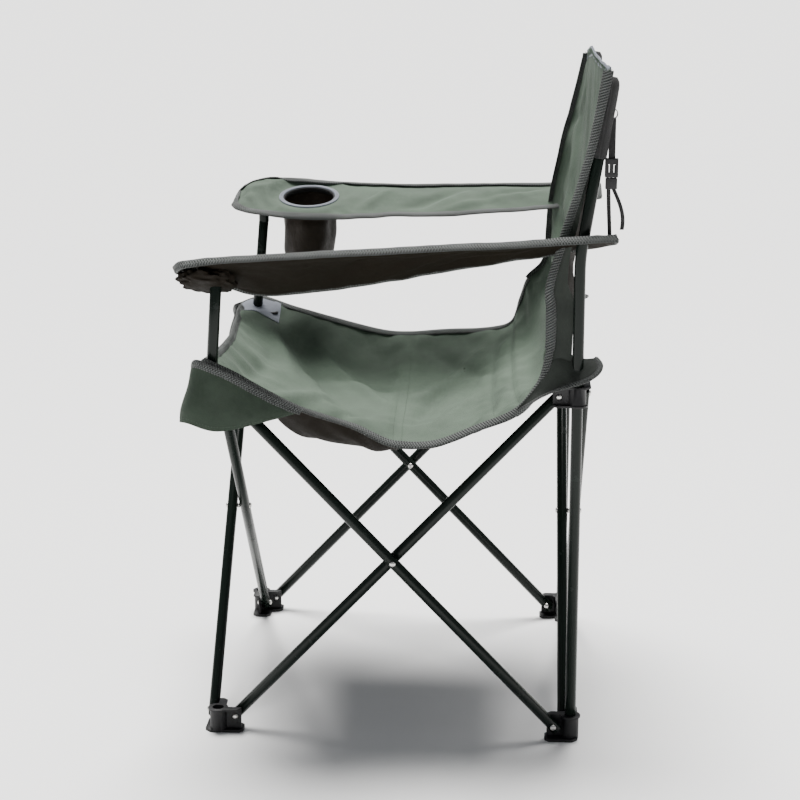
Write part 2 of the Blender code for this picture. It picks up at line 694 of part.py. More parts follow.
def pivot_table():
    """Each joint whose axis misses its pieces' origins: a point on the axis, and what turns there."""
    left, right, front, back = CORNER, -CORNER, -CORNER, CORNER
    near, far, foot, hub = PIN_HALF, -PIN_HALF, FOOT_PIN_Z, HUB_PIN_Z
    return (
        ("left_foot_pin", (left, near, foot), ("brace_left_rear_foot", "rivet_left_middle")),
        ("back_foot_pin", (near, back, foot), ("brace_back_left_foot", "rivet_back_middle")),
        ("right_foot_pin", (right, near, foot), ("brace_right_rear_foot", "rivet_right_middle")),
        ("front_foot_pin", (near, front, foot), ("brace_front_left_foot", "rivet_front_middle")),
        ("front_left_hub_pin", (left, far, hub), (
            "hub_front_left", "arm_post_left", "corner_flap_left",
            "rivet_left_rear_foot_top", "rivet_front_right_foot_top")),
        ("front_right_hub_pin", (right, far, hub), (
            "hub_front_right", "arm_post_right", "corner_flap_right",
            "rivet_right_rear_foot_top", "rivet_front_left_foot_top")),
        ("front_left_foot_pin", (left, far, foot), (
            "foot_front_left", "rivet_left_front_foot_low", "rivet_front_left_foot_low")),
        ("front_right_foot_pin", (right, far, foot), (
            "foot_front_right", "rivet_right_front_foot_low", "rivet_front_right_foot_low")),
        ("back_left_slider_pin", (left, near, hub), (
            "slider_back_left", "rivet_left_front_foot_top", "rivet_back_right_foot_top")),
        ("back_right_slider_pin", (far, back, hub), (
            "slider_back_right", "rivet_back_left_foot_top", "rivet_right_front_foot_top")),
        ("back_right_foot_pin", (far, back, foot), (
            "foot_back_right", "post_back_right",
            "rivet_back_right_foot_low", "rivet_right_rear_foot_low")),
    )


def hang_on_pivots():
    """Empties on the joints' axes, with their pieces parented where they stand."""
    for name, spot, pieces in pivot_table():
        pivot = bpy.data.objects.new(f"pivot_{name}", None)
        bpy.context.scene.collection.objects.link(pivot)
        pivot.empty_display_size = LUG
        pivot.location = spot
        for piece in pieces:
            obj = bpy.data.objects[piece]
            obj.parent = pivot
            obj.matrix_parent_inverse = Matrix.Translation(spot).inverted()


def main():
    clear_scene()
    looks = {
        "tube": material("tube_enamel", (0.018, 0.028, 0.022), 0.28, 0.35),
        "plastic": material("black_plastic", (0.012, 0.012, 0.014), 0.45),
        "zinc": material("zinc", (0.72, 0.71, 0.68), 0.28, 1.0),
        "canvas": material("sage_canvas", (0.105, 0.145, 0.095), 0.85),
        "lining": material("brown_lining", (0.050, 0.040, 0.028), 0.85),
        "binding": material("grey_binding", (0.30, 0.31, 0.31), 0.80),
        "webbing": material("black_webbing", (0.014, 0.014, 0.014), 0.85),
    }
    mouldings_and_posts(looks)
    braces_and_rivets(looks)
    seat_panels(looks)
    back_panels(looks)
    arm_panels(looks)
    cup_holder(looks)
    corner_flaps(looks)
    strap_and_buckle(looks)
    hang_on_pivots()


main()
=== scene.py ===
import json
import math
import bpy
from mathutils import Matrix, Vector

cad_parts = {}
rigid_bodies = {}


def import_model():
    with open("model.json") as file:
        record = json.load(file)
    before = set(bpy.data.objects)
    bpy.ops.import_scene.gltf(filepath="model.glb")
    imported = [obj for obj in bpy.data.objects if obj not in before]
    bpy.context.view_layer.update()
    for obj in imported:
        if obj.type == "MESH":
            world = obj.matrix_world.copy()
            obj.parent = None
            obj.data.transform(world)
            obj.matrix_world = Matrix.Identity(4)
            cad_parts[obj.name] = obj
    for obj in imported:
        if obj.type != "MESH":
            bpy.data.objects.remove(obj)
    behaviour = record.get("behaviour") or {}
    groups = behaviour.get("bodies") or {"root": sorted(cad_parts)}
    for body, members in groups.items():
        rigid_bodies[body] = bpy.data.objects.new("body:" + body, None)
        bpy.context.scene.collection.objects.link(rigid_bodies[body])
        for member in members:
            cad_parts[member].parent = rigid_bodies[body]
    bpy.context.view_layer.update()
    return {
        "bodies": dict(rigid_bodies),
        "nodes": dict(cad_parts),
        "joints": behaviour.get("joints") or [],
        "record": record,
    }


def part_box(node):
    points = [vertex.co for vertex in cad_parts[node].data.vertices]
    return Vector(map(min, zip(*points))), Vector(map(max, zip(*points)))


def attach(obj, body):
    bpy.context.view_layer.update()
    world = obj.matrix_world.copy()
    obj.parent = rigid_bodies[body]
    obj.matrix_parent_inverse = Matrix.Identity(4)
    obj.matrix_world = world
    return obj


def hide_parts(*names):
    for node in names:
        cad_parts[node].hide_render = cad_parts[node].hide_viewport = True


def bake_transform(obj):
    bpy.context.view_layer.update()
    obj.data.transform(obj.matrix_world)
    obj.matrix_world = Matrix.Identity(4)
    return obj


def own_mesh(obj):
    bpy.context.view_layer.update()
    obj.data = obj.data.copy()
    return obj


bl_info = {
    "name": "Folding camp chair",
    "version": (1, 0, 0),
    "blender": (4, 5, 0),
    "location": "3D View > Sidebar > Camp chair",
    "description": "Builds a folding fabric camp chair on crossed steel tubes, piece by piece",
    "category": "Object",
}

import bmesh
import bpy
import numpy as np
from bpy.props import FloatProperty, FloatVectorProperty, PointerProperty
from mathutils import Matrix, Vector, noise

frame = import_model()

SIDES = {"left": 1, "right": -1}
RIVET_SEAT = 0.0026  # from a rivet's outer face to where its head starts
LOOKS = {}
SLING = {}


# ---------------------------------------------------------------- places taken from the frame


def middle_of(node):
    low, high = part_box(node)
    return (low + high) / 2


def size_of(node):
    low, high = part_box(node)
    return high - low


TUBE_R = size_of("post_back_left").x / 2
CORNER = middle_of("post_back_left").x
JOINTS = {joint["name"]: joint for joint in frame["joints"]}
PIN_HALF = JOINTS["fold"]["pos_m"][1]
FOOT_PIN_Z = JOINTS["fold"]["pos_m"][2]
HUB_PIN_Z = JOINTS["front_left_hub_pin"]["pos_m"][2]
ARM_TOP = Vector(JOINTS["left_arm_front_drop"]["pos_m"])
ARM_SPLIT_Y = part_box("arm_left_rear")[0].y
BODY_OF = {node: body for body, nodes in frame["record"]["behaviour"]["bodies"].items() for node in nodes}
POST_TOP_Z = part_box("post_back_left")[1].z
BEND_Z = 0.690
BEND_R = 0.25
BEND_ANGLE = math.radians(9.0)


def post_y(z):
    """The back post's middle, which leans back above its bend."""
    start = BEND_Z + BEND_R * math.sin(BEND_ANGLE)
    if z <= BEND_Z:
        return CORNER
    if z < start:
        return CORNER + BEND_R - math.sqrt(BEND_R**2 - (z - BEND_Z) ** 2)
    return CORNER + BEND_R * (1 - math.cos(BEND_ANGLE)) + (z - start) * math.tan(BEND_ANGLE)


# ---------------------------------------------------------------- shaders


class Value:
    """A socket of a material's tree. Operators on it add Math nodes."""

    def __init__(self, look, socket):
        self.look = look
        self.socket = socket

    def math(self, operation, *others):
        return self.look.node("ShaderNodeMath", {"operation": operation}, self, *others)

    def __add__(self, other):
        return self.math("ADD", other)

    def __radd__(self, other):
        return self.math("ADD", other)

    def __sub__(self, other):
        return self.math("SUBTRACT", other)

    def __rsub__(self, other):
        return self.look.node("ShaderNodeMath", {"operation": "SUBTRACT"}, other, self)

    def __mul__(self, other):
        return self.math("MULTIPLY", other)

    def __rmul__(self, other):
        return self.math("MULTIPLY", other)

    def __truediv__(self, other):
        return self.math("DIVIDE", other)

    def __rtruediv__(self, other):
        return self.look.node("ShaderNodeMath", {"operation": "DIVIDE"}, other, self)

    def __pow__(self, other):
        return self.math("POWER", other)

    def __neg__(self):
        return self * -1.0

    def __abs__(self):
        return self.math("ABSOLUTE")

    def sin(self):
        return self.math("SINE")

    def cos(self):
        return self.math("COSINE")

    def clamp(self):
        return self.look.node("ShaderNodeClamp", {}, self)

    def smooth(self, low, high):
        kind = {"interpolation_type": "SMOOTHSTEP"}
        return self.look.node("ShaderNodeMapRange", kind, self, low, high, 0.0, 1.0)


class Look:
    """A Principled material under construction."""

    def __init__(self, name, roughness, metallic=0.0, coat=0.0, sheen=0.0, specular=0.5):
        self.material = bpy.data.materials.new(name)
        self.material.use_nodes = True
        self.tree = self.material.node_tree
        self.shader = self.tree.nodes["Principled BSDF"]
        for socket, value in (
            ("Roughness", roughness),
            ("Metallic", metallic),
            ("Coat Weight", coat),
            ("Sheen Weight", sheen),
            ("Specular IOR Level", specular),
        ):
            self.shader.inputs[socket].default_value = value

    def feed(self, socket, value):
        if isinstance(value, Value):
            self.tree.links.new(value.socket, socket)
        elif value is not None:
            socket.default_value = value

    def node(self, kind, settings, *values, out=0, **named):
        made = self.tree.nodes.new(kind)
        for key, setting in settings.items():
            setattr(made, key, setting)
        for socket, value in zip(made.inputs, values):
            self.feed(socket, value)
        for key, value in named.items():
            self.feed(made.inputs[key.replace("_", " ")], value)
        return Value(self, made.outputs[out])

    def place(self):
        """Object coordinates, in metres."""
        return self.node("ShaderNodeTexCoord", {}, out=3)

    def cloth_place(self):
        """The piece's own map, in metres along the cloth."""
        return self.node("ShaderNodeUVMap", {"uv_map": "cloth"})

    def split(self, vector):
        first = self.node("ShaderNodeSeparateXYZ", {}, vector)
        outputs = first.socket.node.outputs
        return [Value(self, socket) for socket in outputs]

    def noise(self, place, scale, detail=3.0, rough=0.55):
        return self.node("ShaderNodeTexNoise", {}, place, None, scale, detail, rough)

    def mix(self, share, first, second, blend="MIX"):
        made = self.tree.nodes.new("ShaderNodeMix")
        made.data_type = "RGBA"
        made.blend_type = blend
        made.clamp_factor = True
        self.feed(made.inputs["Factor"], share)
        colours = [socket for socket in made.inputs if socket.type == "RGBA"]
        for socket, colour in zip(colours, (first, second)):
            self.feed(socket, colour if isinstance(colour, Value) else (*colour[:3], 1.0))
        output = [socket for socket in made.outputs if socket.type == "RGBA"][0]
        return Value(self, output)

    def bump(self, height, distance, strength=1.0, onto=None):
        made = self.node("ShaderNodeBump", {}, Strength=strength, Distance=distance, Height=height)
        if onto is not None:
            self.feed(made.socket.node.inputs["Normal"], onto)
        return made

    def paint(self, colour=None, roughness=None, normal=None, metallic=None):
        for key, value in (
            ("Base Color", colour),
            ("Roughness", roughness),
            ("Normal", normal),
            ("Metallic", metallic),
        ):
            if value is None:
                continue
            if key == "Base Color" and not isinstance(value, Value):
                value = (*value[:3], 1.0)
            self.feed(self.shader.inputs[key], value)
        return self.material


def woven(name, colour, dark, pitch, roughness=0.82, crumple=0.0022, sheen=0.05, weave=0.00022,
          specular=0.35):
    """Plain-woven cloth: its threads follow the piece's map, and slight crumples cross it."""
    look = Look(name, roughness, sheen=sheen, specular=specular)
    along, across, _ = look.split(look.cloth_place())
    turn = math.tau / pitch
    warp = (along * turn).sin()
    weft = (across * turn).sin()
    thread = warp * weft
    place = look.place()
    broad = look.noise(place, 9.0, 3.0)
    fine = look.noise(place, 60.0, 4.0, 0.6)
    fleck = look.noise(place, 900.0, 2.0)
    shade = (broad - 0.5) * 0.9 + (fine - 0.5) * 0.5 + (fleck - 0.5) * 0.55 + thread * 0.16 + 0.5
    tint = look.mix(shade.clamp(), dark, colour)
    creases = look.noise(place, 26.0, 5.0, 0.55)
    soft = look.bump(creases, crumple)
    threads = look.bump(thread, weave, 0.7, onto=soft)
    gloss = roughness - 0.10 + fine * 0.2
    return look.paint(colour=tint, roughness=gloss, normal=threads)


def tape(name, colour, dark, pitch, roughness=0.75):
    """Ribbed tape: slanted ribs cross it."""
    look = Look(name, roughness, sheen=0.1, specular=0.35)
    along, across, _ = look.split(look.cloth_place())
    ribs = ((along + across * 0.6) * (math.tau / pitch)).sin()
    cross = ((along - across * 0.9) * (math.tau / pitch)).sin()
    grain = look.noise(look.place(), 700.0, 2.0)
    wide = look.noise(look.place(), 30.0, 2.0)
    shade = 0.5 + ribs * 0.30 + cross * 0.16 + (grain - 0.5) * 0.4 + (wide - 0.5) * 0.5
    tint = look.mix(shade.clamp(), dark, colour)
    return look.paint(colour=tint, normal=look.bump(ribs + cross * 0.5, 0.0006))


def enamel(name, colour):
    """Glossy sprayed enamel with faint orange peel and dull scuffs."""
    look = Look(name, 0.24, specular=0.16)
    look.shader.inputs["Coat Roughness"].default_value = 0.12
    place = look.place()
    peel = look.noise(place, 420.0, 2.0)
    scuffs = look.noise(place, 34.0, 6.0, 0.7).smooth(0.60, 0.72)
    dust = look.noise(place, 6.0, 4.0, 0.6)
    tint = look.mix(scuffs * 0.35 + dust * 0.12, colour, [c * 2.2 + 0.02 for c in colour])
    gloss = 0.20 + scuffs * 0.22 + dust * 0.10
    return look.paint(colour=tint, roughness=gloss, normal=look.bump(peel, 0.00006, 0.6))


def moulded(name, colour, roughness=0.42):
    """Moulded plastic with a fine spark-eroded grain and slightly rubbed, paler high spots."""
    look = Look(name, roughness, specular=0.3)
    place = look.place()
    grain = look.noise(place, 1500.0, 3.0)
    cloudy = look.noise(place, 45.0, 4.0)
    tint = look.mix(cloudy.smooth(0.45, 0.75) * 0.6, colour, [c * 1.8 + 0.012 for c in colour])
    gloss = roughness - 0.08 + cloudy * 0.2 + grain * 0.08
    return look.paint(colour=tint, roughness=gloss, normal=look.bump(grain, 0.00012, 0.5))


def plated(name, colour):
    """Zinc-plated steel with a cloudy, slightly brushed surface."""
    look = Look(name, 0.3, metallic=1.0)
    place = look.place()
    cloudy = look.noise(place, 260.0, 4.0)
    tint = look.mix(cloudy.smooth(0.3, 0.8), [c * 0.72 for c in colour], colour)
    return look.paint(colour=tint, roughness=0.2 + cloudy * 0.25, normal=look.bump(cloudy, 0.00008))


# ---------------------------------------------------------------- shapes


def spline(points, steps):
    """A smooth run through the points, with that many steps between each two."""
    points = [Vector(point) for point in points]
    run = []
    last = len(points) - 1
    for i in range(last):
        a, b, c, d = points[max(i - 1, 0)], points[i], points[i + 1], points[min(i + 2, last)]
        for k in range(steps):
            t = k / steps
            run.append(
                0.5
                * (
                    2 * b
                    + (c - a) * t
                    + (2 * a - 5 * b + 4 * c - d) * t * t
                    + (3 * b - a - 3 * c + d) * t**3
                )
            )
    return run + [points[-1].copy()]


def evenly(points, pitch):
    """The run resampled at an even pitch, close to the one asked for."""
    spans = [(b - a).length for a, b in zip(points, points[1:])]
    total = sum(spans)
    count = max(2, round(total / pitch))
    marks = [total * i / count for i in range(count + 1)]
    run, i, done = [], 0, 0.0
    for mark in marks:
        while i < len(spans) - 1 and done + spans[i] < mark:
            done += spans[i]
            i += 1
        share = min(max((mark - done) / max(spans[i], 1e-9), 0.0), 1.0)
        run.append(points[i].lerp(points[i + 1], share))
    return run


def smoothstep(value, low, high):
    t = min(max((value - low) / (high - low), 0.0), 1.0)
    return t * t * (3 - 2 * t)


def new_piece(name, mesh, looks):
    obj = bpy.data.objects.new(name, mesh)
    bpy.context.scene.collection.objects.link(obj)
    for look in looks:
        mesh.materials.append(LOOKS[look])
    return obj


def mesh_of(name, shape, angle=35.0):
    bmesh.ops.remove_doubles(shape, verts=shape.verts, dist=1e-6)
    bmesh.ops.recalc_face_normals(shape, faces=shape.faces)
    mesh = bpy.data.meshes.new(name)
    shape.to_mesh(mesh)
    shape.free()
    mesh.shade_smooth()
    mesh.set_sharp_from_angle(angle=math.radians(angle))
    return mesh


def grid_normals(grid):
    """A unit normal at each point of a grid of points."""
    array = np.array([[tuple(point) for point in row] for row in grid])
    down, over = np.gradient(array, axis=0), np.gradient(array, axis=1)
    normal = np.cross(over, down)
    return normal / np.maximum(np.linalg.norm(normal, axis=2, keepdims=True), 1e-12)


def grid_map(grid):
    """Each point's place on the flat cloth, in metres along the middle row and column."""
    array = np.array([[tuple(point) for point in row] for row in grid])
    down = np.linalg.norm(np.diff(array, axis=0), axis=2).mean(axis=1)
    over = np.linalg.norm(np.diff(array, axis=1), axis=2).mean(axis=0)
    return np.concatenate([[0], np.cumsum(down)]), np.concatenate([[0], np.cumsum(over)])


def cloth(name, grid, looks, thick=0.0011, rows=None, columns=None, up=1.0, keep=None, lift=0.0):
    """A thin cloth from part of a grid: its upper face has the first look, its underside the last.
    Normals come from the whole grid, so that pieces cut from one cloth meet without a line."""
    normals = grid_normals(grid) * up
    along, across = grid_map(grid)
    rows = rows or (0, len(grid) - 1)
    columns = columns or (0, len(grid[0]) - 1)
    height, width = rows[1] - rows[0] + 1, columns[1] - columns[0] + 1
    points, facing, place = [], [], []
    for way in (1, -1):
        for i in range(rows[0], rows[1] + 1):
            for k in range(columns[0], columns[1] + 1):
                normal = Vector(normals[i, k])
                points.append(grid[i][k] + normal * (thick / 2 * way + lift))
                facing.append(normal * way)
                place.append((across[k], along[i]))
    size = height * width
    upper = []
    for i in range(height - 1):
        for k in range(width - 1):
            if keep and not keep(i + rows[0], k + columns[0]):
                continue
            a = i * width + k
            loop = (a, a + 1, a + width + 1, a + width)
            upper.append(loop if up > 0 else loop[::-1])
    edges = {(a, b) for loop in upper for a, b in zip(loop, loop[1:] + loop[:1])}
    rim = [(b, a, a + size, b + size) for a, b in sorted(edges) if (b, a) not in edges]
    lower = [tuple(point + size for point in loop[::-1]) for loop in upper]
    faces = upper + lower + rim
    kinds = [0] * len(upper) + [len(looks) - 1] * len(lower) + [0] * len(rim)
    mesh = bpy.data.meshes.new(name)
    mesh.from_pydata([tuple(point) for point in points], [], faces)
    mesh.polygons.foreach_set("material_index", kinds)
    layer = mesh.uv_layers.new(name="cloth")
    places = np.array(place)[[loop.vertex_index for loop in mesh.loops]]
    layer.data.foreach_set("uv", places.astype(np.float32).ravel())
    mesh.shade_smooth()
    mesh.update()
    mesh.normals_split_custom_set_from_vertices([tuple(n) for n in facing])
    piece = new_piece(name, mesh, looks)
    if keep:
        shape = bmesh.new()
        shape.from_mesh(mesh)
        bmesh.ops.delete(shape, geom=[v for v in shape.verts if not v.link_faces], context="VERTS")
        shape.to_mesh(mesh)
        shape.free()
    return piece


def sweep(name, path, across, up, outline, looks, closed=False):
    """An outline carried along a path. Each outline point is (across, up), in metres."""
    count, sides = len(path), len(outline)
    rings = [[p + a * x + u * z for x, z in outline] for p, a, u in zip(path, across, up)]
    points = [tuple(point) for ring in rings for point in ring]
    faces = []
    steps = count if closed else count - 1
    for i in range(steps):
        here, there = i * sides, (i + 1) % count * sides
        for k in range(sides):
            n = (k + 1) % sides
            faces.append((here + k, here + n, there + n, there + k))
    if not closed:
        faces.append(tuple(range(sides)))
        faces.append(tuple(range((count - 1) * sides, count * sides))[::-1])
    mesh = bpy.data.meshes.new(name)
    mesh.from_pydata(points, [], faces)
    lengths = [0.0]
    for a, b in zip(path, path[1:]):
        lengths.append(lengths[-1] + (b - a).length)
    round_run = [0.0]
    for a, b in zip(outline, outline[1:]):
        round_run.append(round_run[-1] + math.dist(a, b))
    layer = mesh.uv_layers.new(name="cloth")
    for loop in mesh.loops:
        i, k = divmod(loop.vertex_index, sides)
        layer.data[loop.index].uv = (lengths[i], round_run[k])
    shape = bmesh.new()
    shape.from_mesh(mesh)
    bmesh.ops.recalc_face_normals(shape, faces=shape.faces)
    shape.to_mesh(mesh)
    shape.free()
    mesh.shade_smooth()
    mesh.set_sharp_from_angle(angle=math.radians(50))
    return new_piece(name, mesh, looks)


def rounded(width, height, shift=0.0, sides=10):
    """A flattened round outline, for tape folded over an edge."""
    outline = []
    for i in range(sides):
        angle = math.tau * i / sides
        c, s = math.cos(angle), math.sin(angle)
        x = math.copysign(abs(c) ** 0.6, c) * width / 2 + shift
        z = math.copysign(abs(s) ** 0.8, s) * height / 2
        outline.append((x, z))
    return outline


def directions(path, towards):
    """For each point of a path: a unit step across it, away from a given side, and a unit normal."""
    across, up = [], []
    for i, point in enumerate(path):
        ahead = (path[min(i + 1, len(path) - 1)] - path[max(i - 1, 0)]).normalized()
        inward = Vector(towards[i]) - point
        out = -(inward - ahead * inward.dot(ahead)).normalized()
        across.append(out)
        up.append(out.cross(ahead).normalized())
    return across, up


def stitch_tree():
    """Thread stitches on points: each is a small rounded bar that lies along its point's thread."""
    tree = bpy.data.node_groups.new("stitches", "GeometryNodeTree")
    face = tree.interface
    face.new_socket("Points", in_out="INPUT", socket_type="NodeSocketGeometry")
    for label, start in (("Stitch length", 0.006), ("Thread width", 0.0008)):
        made = face.new_socket(label, in_out="INPUT", socket_type="NodeSocketFloat")
        made.default_value = start
    face.new_socket("Thread", in_out="INPUT", socket_type="NodeSocketMaterial")
    face.new_socket("Stitches", in_out="OUTPUT", socket_type="NodeSocketGeometry")

    def add(kind, settings=None):
        made = tree.nodes.new(kind)
        for key, value in (settings or {}).items():
            setattr(made, key, value)
        return made

    def join(source, target):
        tree.links.new(source, target)

    given = add("NodeGroupInput")
    bar = add("GeometryNodeMeshIcoSphere")
    bar.inputs["Radius"].default_value = 0.5
    bar.inputs["Subdivisions"].default_value = 1
    size = add("ShaderNodeCombineXYZ")
    join(given.outputs["Stitch length"], size.inputs["X"])
    join(given.outputs["Thread width"], size.inputs["Y"])
    join(given.outputs["Thread width"], size.inputs["Z"])
    shaped = add("GeometryNodeTransform")
    join(bar.outputs["Mesh"], shaped.inputs["Geometry"])
    join(size.outputs["Vector"], shaped.inputs["Scale"])
    turns = []
    for label, axis in (("thread", "X"), ("lift", "Z")):
        read = add("GeometryNodeInputNamedAttribute", {"data_type": "FLOAT_VECTOR"})
        read.inputs["Name"].default_value = label
        aimed = add("FunctionNodeAlignRotationToVector", {"axis": axis})
        join(read.outputs["Attribute"], aimed.inputs["Vector"])
        turns.append(aimed)
    turns[1].pivot_axis = "X"
    join(turns[0].outputs["Rotation"], turns[1].inputs["Rotation"])
    spread = add("GeometryNodeInstanceOnPoints")
    join(given.outputs["Points"], spread.inputs["Points"])
    join(shaped.outputs["Geometry"], spread.inputs["Instance"])
    join(turns[1].outputs["Rotation"], spread.inputs["Rotation"])
    real = add("GeometryNodeRealizeInstances")
    join(spread.outputs["Instances"], real.inputs["Geometry"])
    looked = add("GeometryNodeSetMaterial")
    join(real.outputs["Geometry"], looked.inputs["Geometry"])
    join(given.outputs["Thread"], looked.inputs["Material"])
    result = add("NodeGroupOutput")
    join(looked.outputs["Geometry"], result.inputs["Stitches"])
    return tree


def stitches(name, spots, length, width, look):
    """One mesh of stitches at (place, thread direction, lift direction) spots."""
    guide = bpy.data.meshes.new(name + "_guide")
    guide.from_pydata([tuple(spot[0]) for spot in spots], [], [])
    for label, index in (("thread", 1), ("lift", 2)):
        layer = guide.attributes.new(label, "FLOAT_VECTOR", "POINT")
        layer.data.foreach_set("vector", np.array([tuple(s[index]) for s in spots], np.float32).ravel())
    obj = bpy.data.objects.new(name + "_guide", guide)
    bpy.context.scene.collection.objects.link(obj)
    tree = bpy.data.node_groups.get("stitches") or stitch_tree()
    step = obj.modifiers.new("stitches", "NODES")
    step.node_group = tree
    values = {"Stitch length": length, "Thread width": width, "Thread": LOOKS[look]}
    for item in tree.interface.items_tree:
        if item.in_out == "INPUT" and item.name in values:
            step[item.identifier] = values[item.name]
    graph = bpy.context.evaluated_depsgraph_get()
    mesh = bpy.data.meshes.new_from_object(obj.evaluated_get(graph), depsgraph=graph)
    mesh.name = name
    mesh.shade_smooth()
    bpy.data.objects.remove(obj, do_unlink=True)
    made = bpy.data.objects.new(name, mesh)
    bpy.context.scene.collection.objects.link(made)
    return made


def turned_down(across, up, turn, lift):
    """The tape's directions once it turns away from the lift side by an angle."""
    if not turn:
        return across, up
    for i, (a, u) in enumerate(zip(across, up)):
        raised = u if u.dot(Vector(lift)) >= 0 else -u
        across[i] = a * math.cos(turn) - raised * math.sin(turn)
        up[i] = raised * math.cos(turn) + a * math.sin(turn)
    return across, up


def bound_edge(name, path, inward, width, height, look="binding", thread="thread", pitch=0.0040, lap=0.35,
               turn=0.0, lift=(0, 0, 1)):
    """Tape folded over a cloth's edge, with slanted stitches over both of its faces."""
    across, up = turned_down(*directions(path, inward), turn, lift)
    shift = width * (lap - 0.5)
    outline = rounded(width, height, shift)
    strip = sweep(name, path, across, up, outline, [look])
    marks = evenly(path, pitch)
    towards = evenly([Vector(p) for p in inward], pitch)
    count, most = len(marks), len(towards) - 1
    towards = [towards[min(round(i * most / (count - 1)), most)] for i in range(count)]
    across, up = turned_down(*directions(marks, towards), turn, lift)
    spots = []
    for i, (mark, a, u) in enumerate(zip(marks, across, up)):
        ahead = u.cross(a)
        thread_way = (a + ahead * 0.55).normalized()
        spots.append((mark + a * shift + u * (height * 0.47), thread_way, u))
        spots.append((mark + a * shift - u * (height * 0.47), thread_way, -u))
    sewn = stitches(name + "_stitches", spots, width * 0.80, 0.0012, thread)
    return [strip, sewn]


def run_of_stitches(name, path, normals, look="thread_green", pitch=0.0042, length=0.0030):
    marks = evenly(path, pitch)
    spots = []
    for i, mark in enumerate(marks):
        ahead = (marks[min(i + 1, len(marks) - 1)] - marks[max(i - 1, 0)]).normalized()
        t = i / (len(marks) - 1) * (len(normals) - 1)
        lift = Vector(normals[int(round(t))])
        spots.append((mark + lift * 0.0007, ahead, lift))
    return stitches(name, spots, length, 0.0007, look)


def settle(pieces, body, squashed=None):
    """Hand pieces to a body; when a squash is given, each piece gets its own copy of its mesh."""
    for piece in pieces:
        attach(piece, body)
        if squashed:
            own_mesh(piece)


# ---------------------------------------------------------------- settings


class ChairSizes(bpy.types.PropertyGroup):
    cloth: FloatProperty(name="Cloth", description="Thickness of the cloth", default=0.0011, unit="LENGTH")
    binding: FloatProperty(name="Binding", description="Width of the edge tape", default=0.0125, unit="LENGTH")
    tape: FloatProperty(name="Tape", description="Thickness of the folded tape", default=0.0034, unit="LENGTH")
    weave: FloatProperty(name="Weave", description="Pitch of the weave", default=0.0018, unit="LENGTH")


def colour_property(name, description, value):
    return FloatVectorProperty(
        name=name, description=description, subtype="COLOR", size=3, min=0.0, max=1.0, default=value
    )


class ChairColours(bpy.types.PropertyGroup):
    canvas: colour_property("Canvas", "The cloth's upper side", (0.083, 0.120, 0.085))
    canvas_dark: colour_property("Canvas, dark", "The cloth's darker cast", (0.033, 0.050, 0.035))
    lining: colour_property("Lining", "The coated underside", (0.0085, 0.0060, 0.0031))
    lining_dark: colour_property("Lining, dark", "The underside's darker cast", (0.0040, 0.0028, 0.0016))
    pocket: colour_property("Pocket", "The cup holder's cloth", (0.0180, 0.0118, 0.0068))
    binding: colour_property("Binding", "The edge tape", (0.098, 0.106, 0.102))
    patch: colour_property("Patch", "The silver-grey patches", (0.190, 0.208, 0.250))
    enamel: colour_property("Enamel", "The tubes", (0.004, 0.0075, 0.0055))
    plastic: colour_property("Plastic", "The mouldings", (0.008, 0.008, 0.009))
    webbing: colour_property("Webbing", "The straps and the post pockets", (0.016, 0.016, 0.017))


def sizes():
    return bpy.context.scene.chair_sizes


def colours():
    return bpy.context.scene.chair_colours


def make_looks():
    tint = colours()
    pitch = sizes().weave
    LOOKS["canvas"] = woven("sage_canvas", tint.canvas, tint.canvas_dark, pitch)
    # The flaps get a darker copy of the seat canvas: painted shade on their vertical faces, which are the same
    # cloth as the seat.
    shaded_flap_colour = [c * 0.52 for c in tint.canvas]
    LOOKS["flap_canvas"] = woven("flap_canvas", shaded_flap_colour, [c * 0.42 for c in shaded_flap_colour], pitch, specular=0.2)
    LOOKS["lining"] = woven("brown_lining", tint.lining, tint.lining_dark, pitch, 0.8, 0.0016, 0.0, specular=0.10)
    LOOKS["pocket"] = woven("pocket_cloth", tint.pocket, [c * 0.4 for c in tint.pocket], pitch, 0.46, 0.006, 0.0,
                            specular=0.16)
    # The pocket's inside is a copy of the pocket cloth, 3.2 times lighter: painted light inside the pocket.
    inside = [c * 3.2 for c in tint.pocket]
    LOOKS["lit_pocket_inside"] = woven("lit_pocket_inside", inside, [c * 0.3 for c in inside], pitch, 0.5, 0.006, 0.0)
    # A darker copy of the canvas for the rear tabs and gussets: painted shade.
    LOOKS["shaded_canvas"] = woven("shaded_canvas", (0.030, 0.036, 0.030), (0.012, 0.016, 0.013), pitch)
    LOOKS["binding"] = tape("grey_tape", tint.binding, [c * 0.10 for c in tint.binding], 0.0040)
    LOOKS["patch"] = woven("silver_patch", tint.patch, [c * 0.75 for c in tint.patch], pitch, 0.6)
    LOOKS["webbing"] = tape("black_webbing", tint.webbing, [c * 0.4 for c in tint.webbing], 0.0014)
    LOOKS["thread"] = tape("grey_thread", [c * 1.35 for c in tint.binding], tint.binding, 0.0008)
    LOOKS["thread_green"] = tape("green_thread", [c * 0.9 for c in tint.canvas], tint.canvas_dark, 0.0008)
    LOOKS["enamel"] = enamel("dark_green_enamel", tint.enamel)
    LOOKS["plastic"] = moulded("black_plastic", tint.plastic)
    LOOKS["zinc"] = plated("zinc", (0.78, 0.77, 0.74))
    LOOKS["bore"] = moulded("tube_inside", (0.004, 0.004, 0.004), 0.8)


# ---------------------------------------------------------------- frame pieces


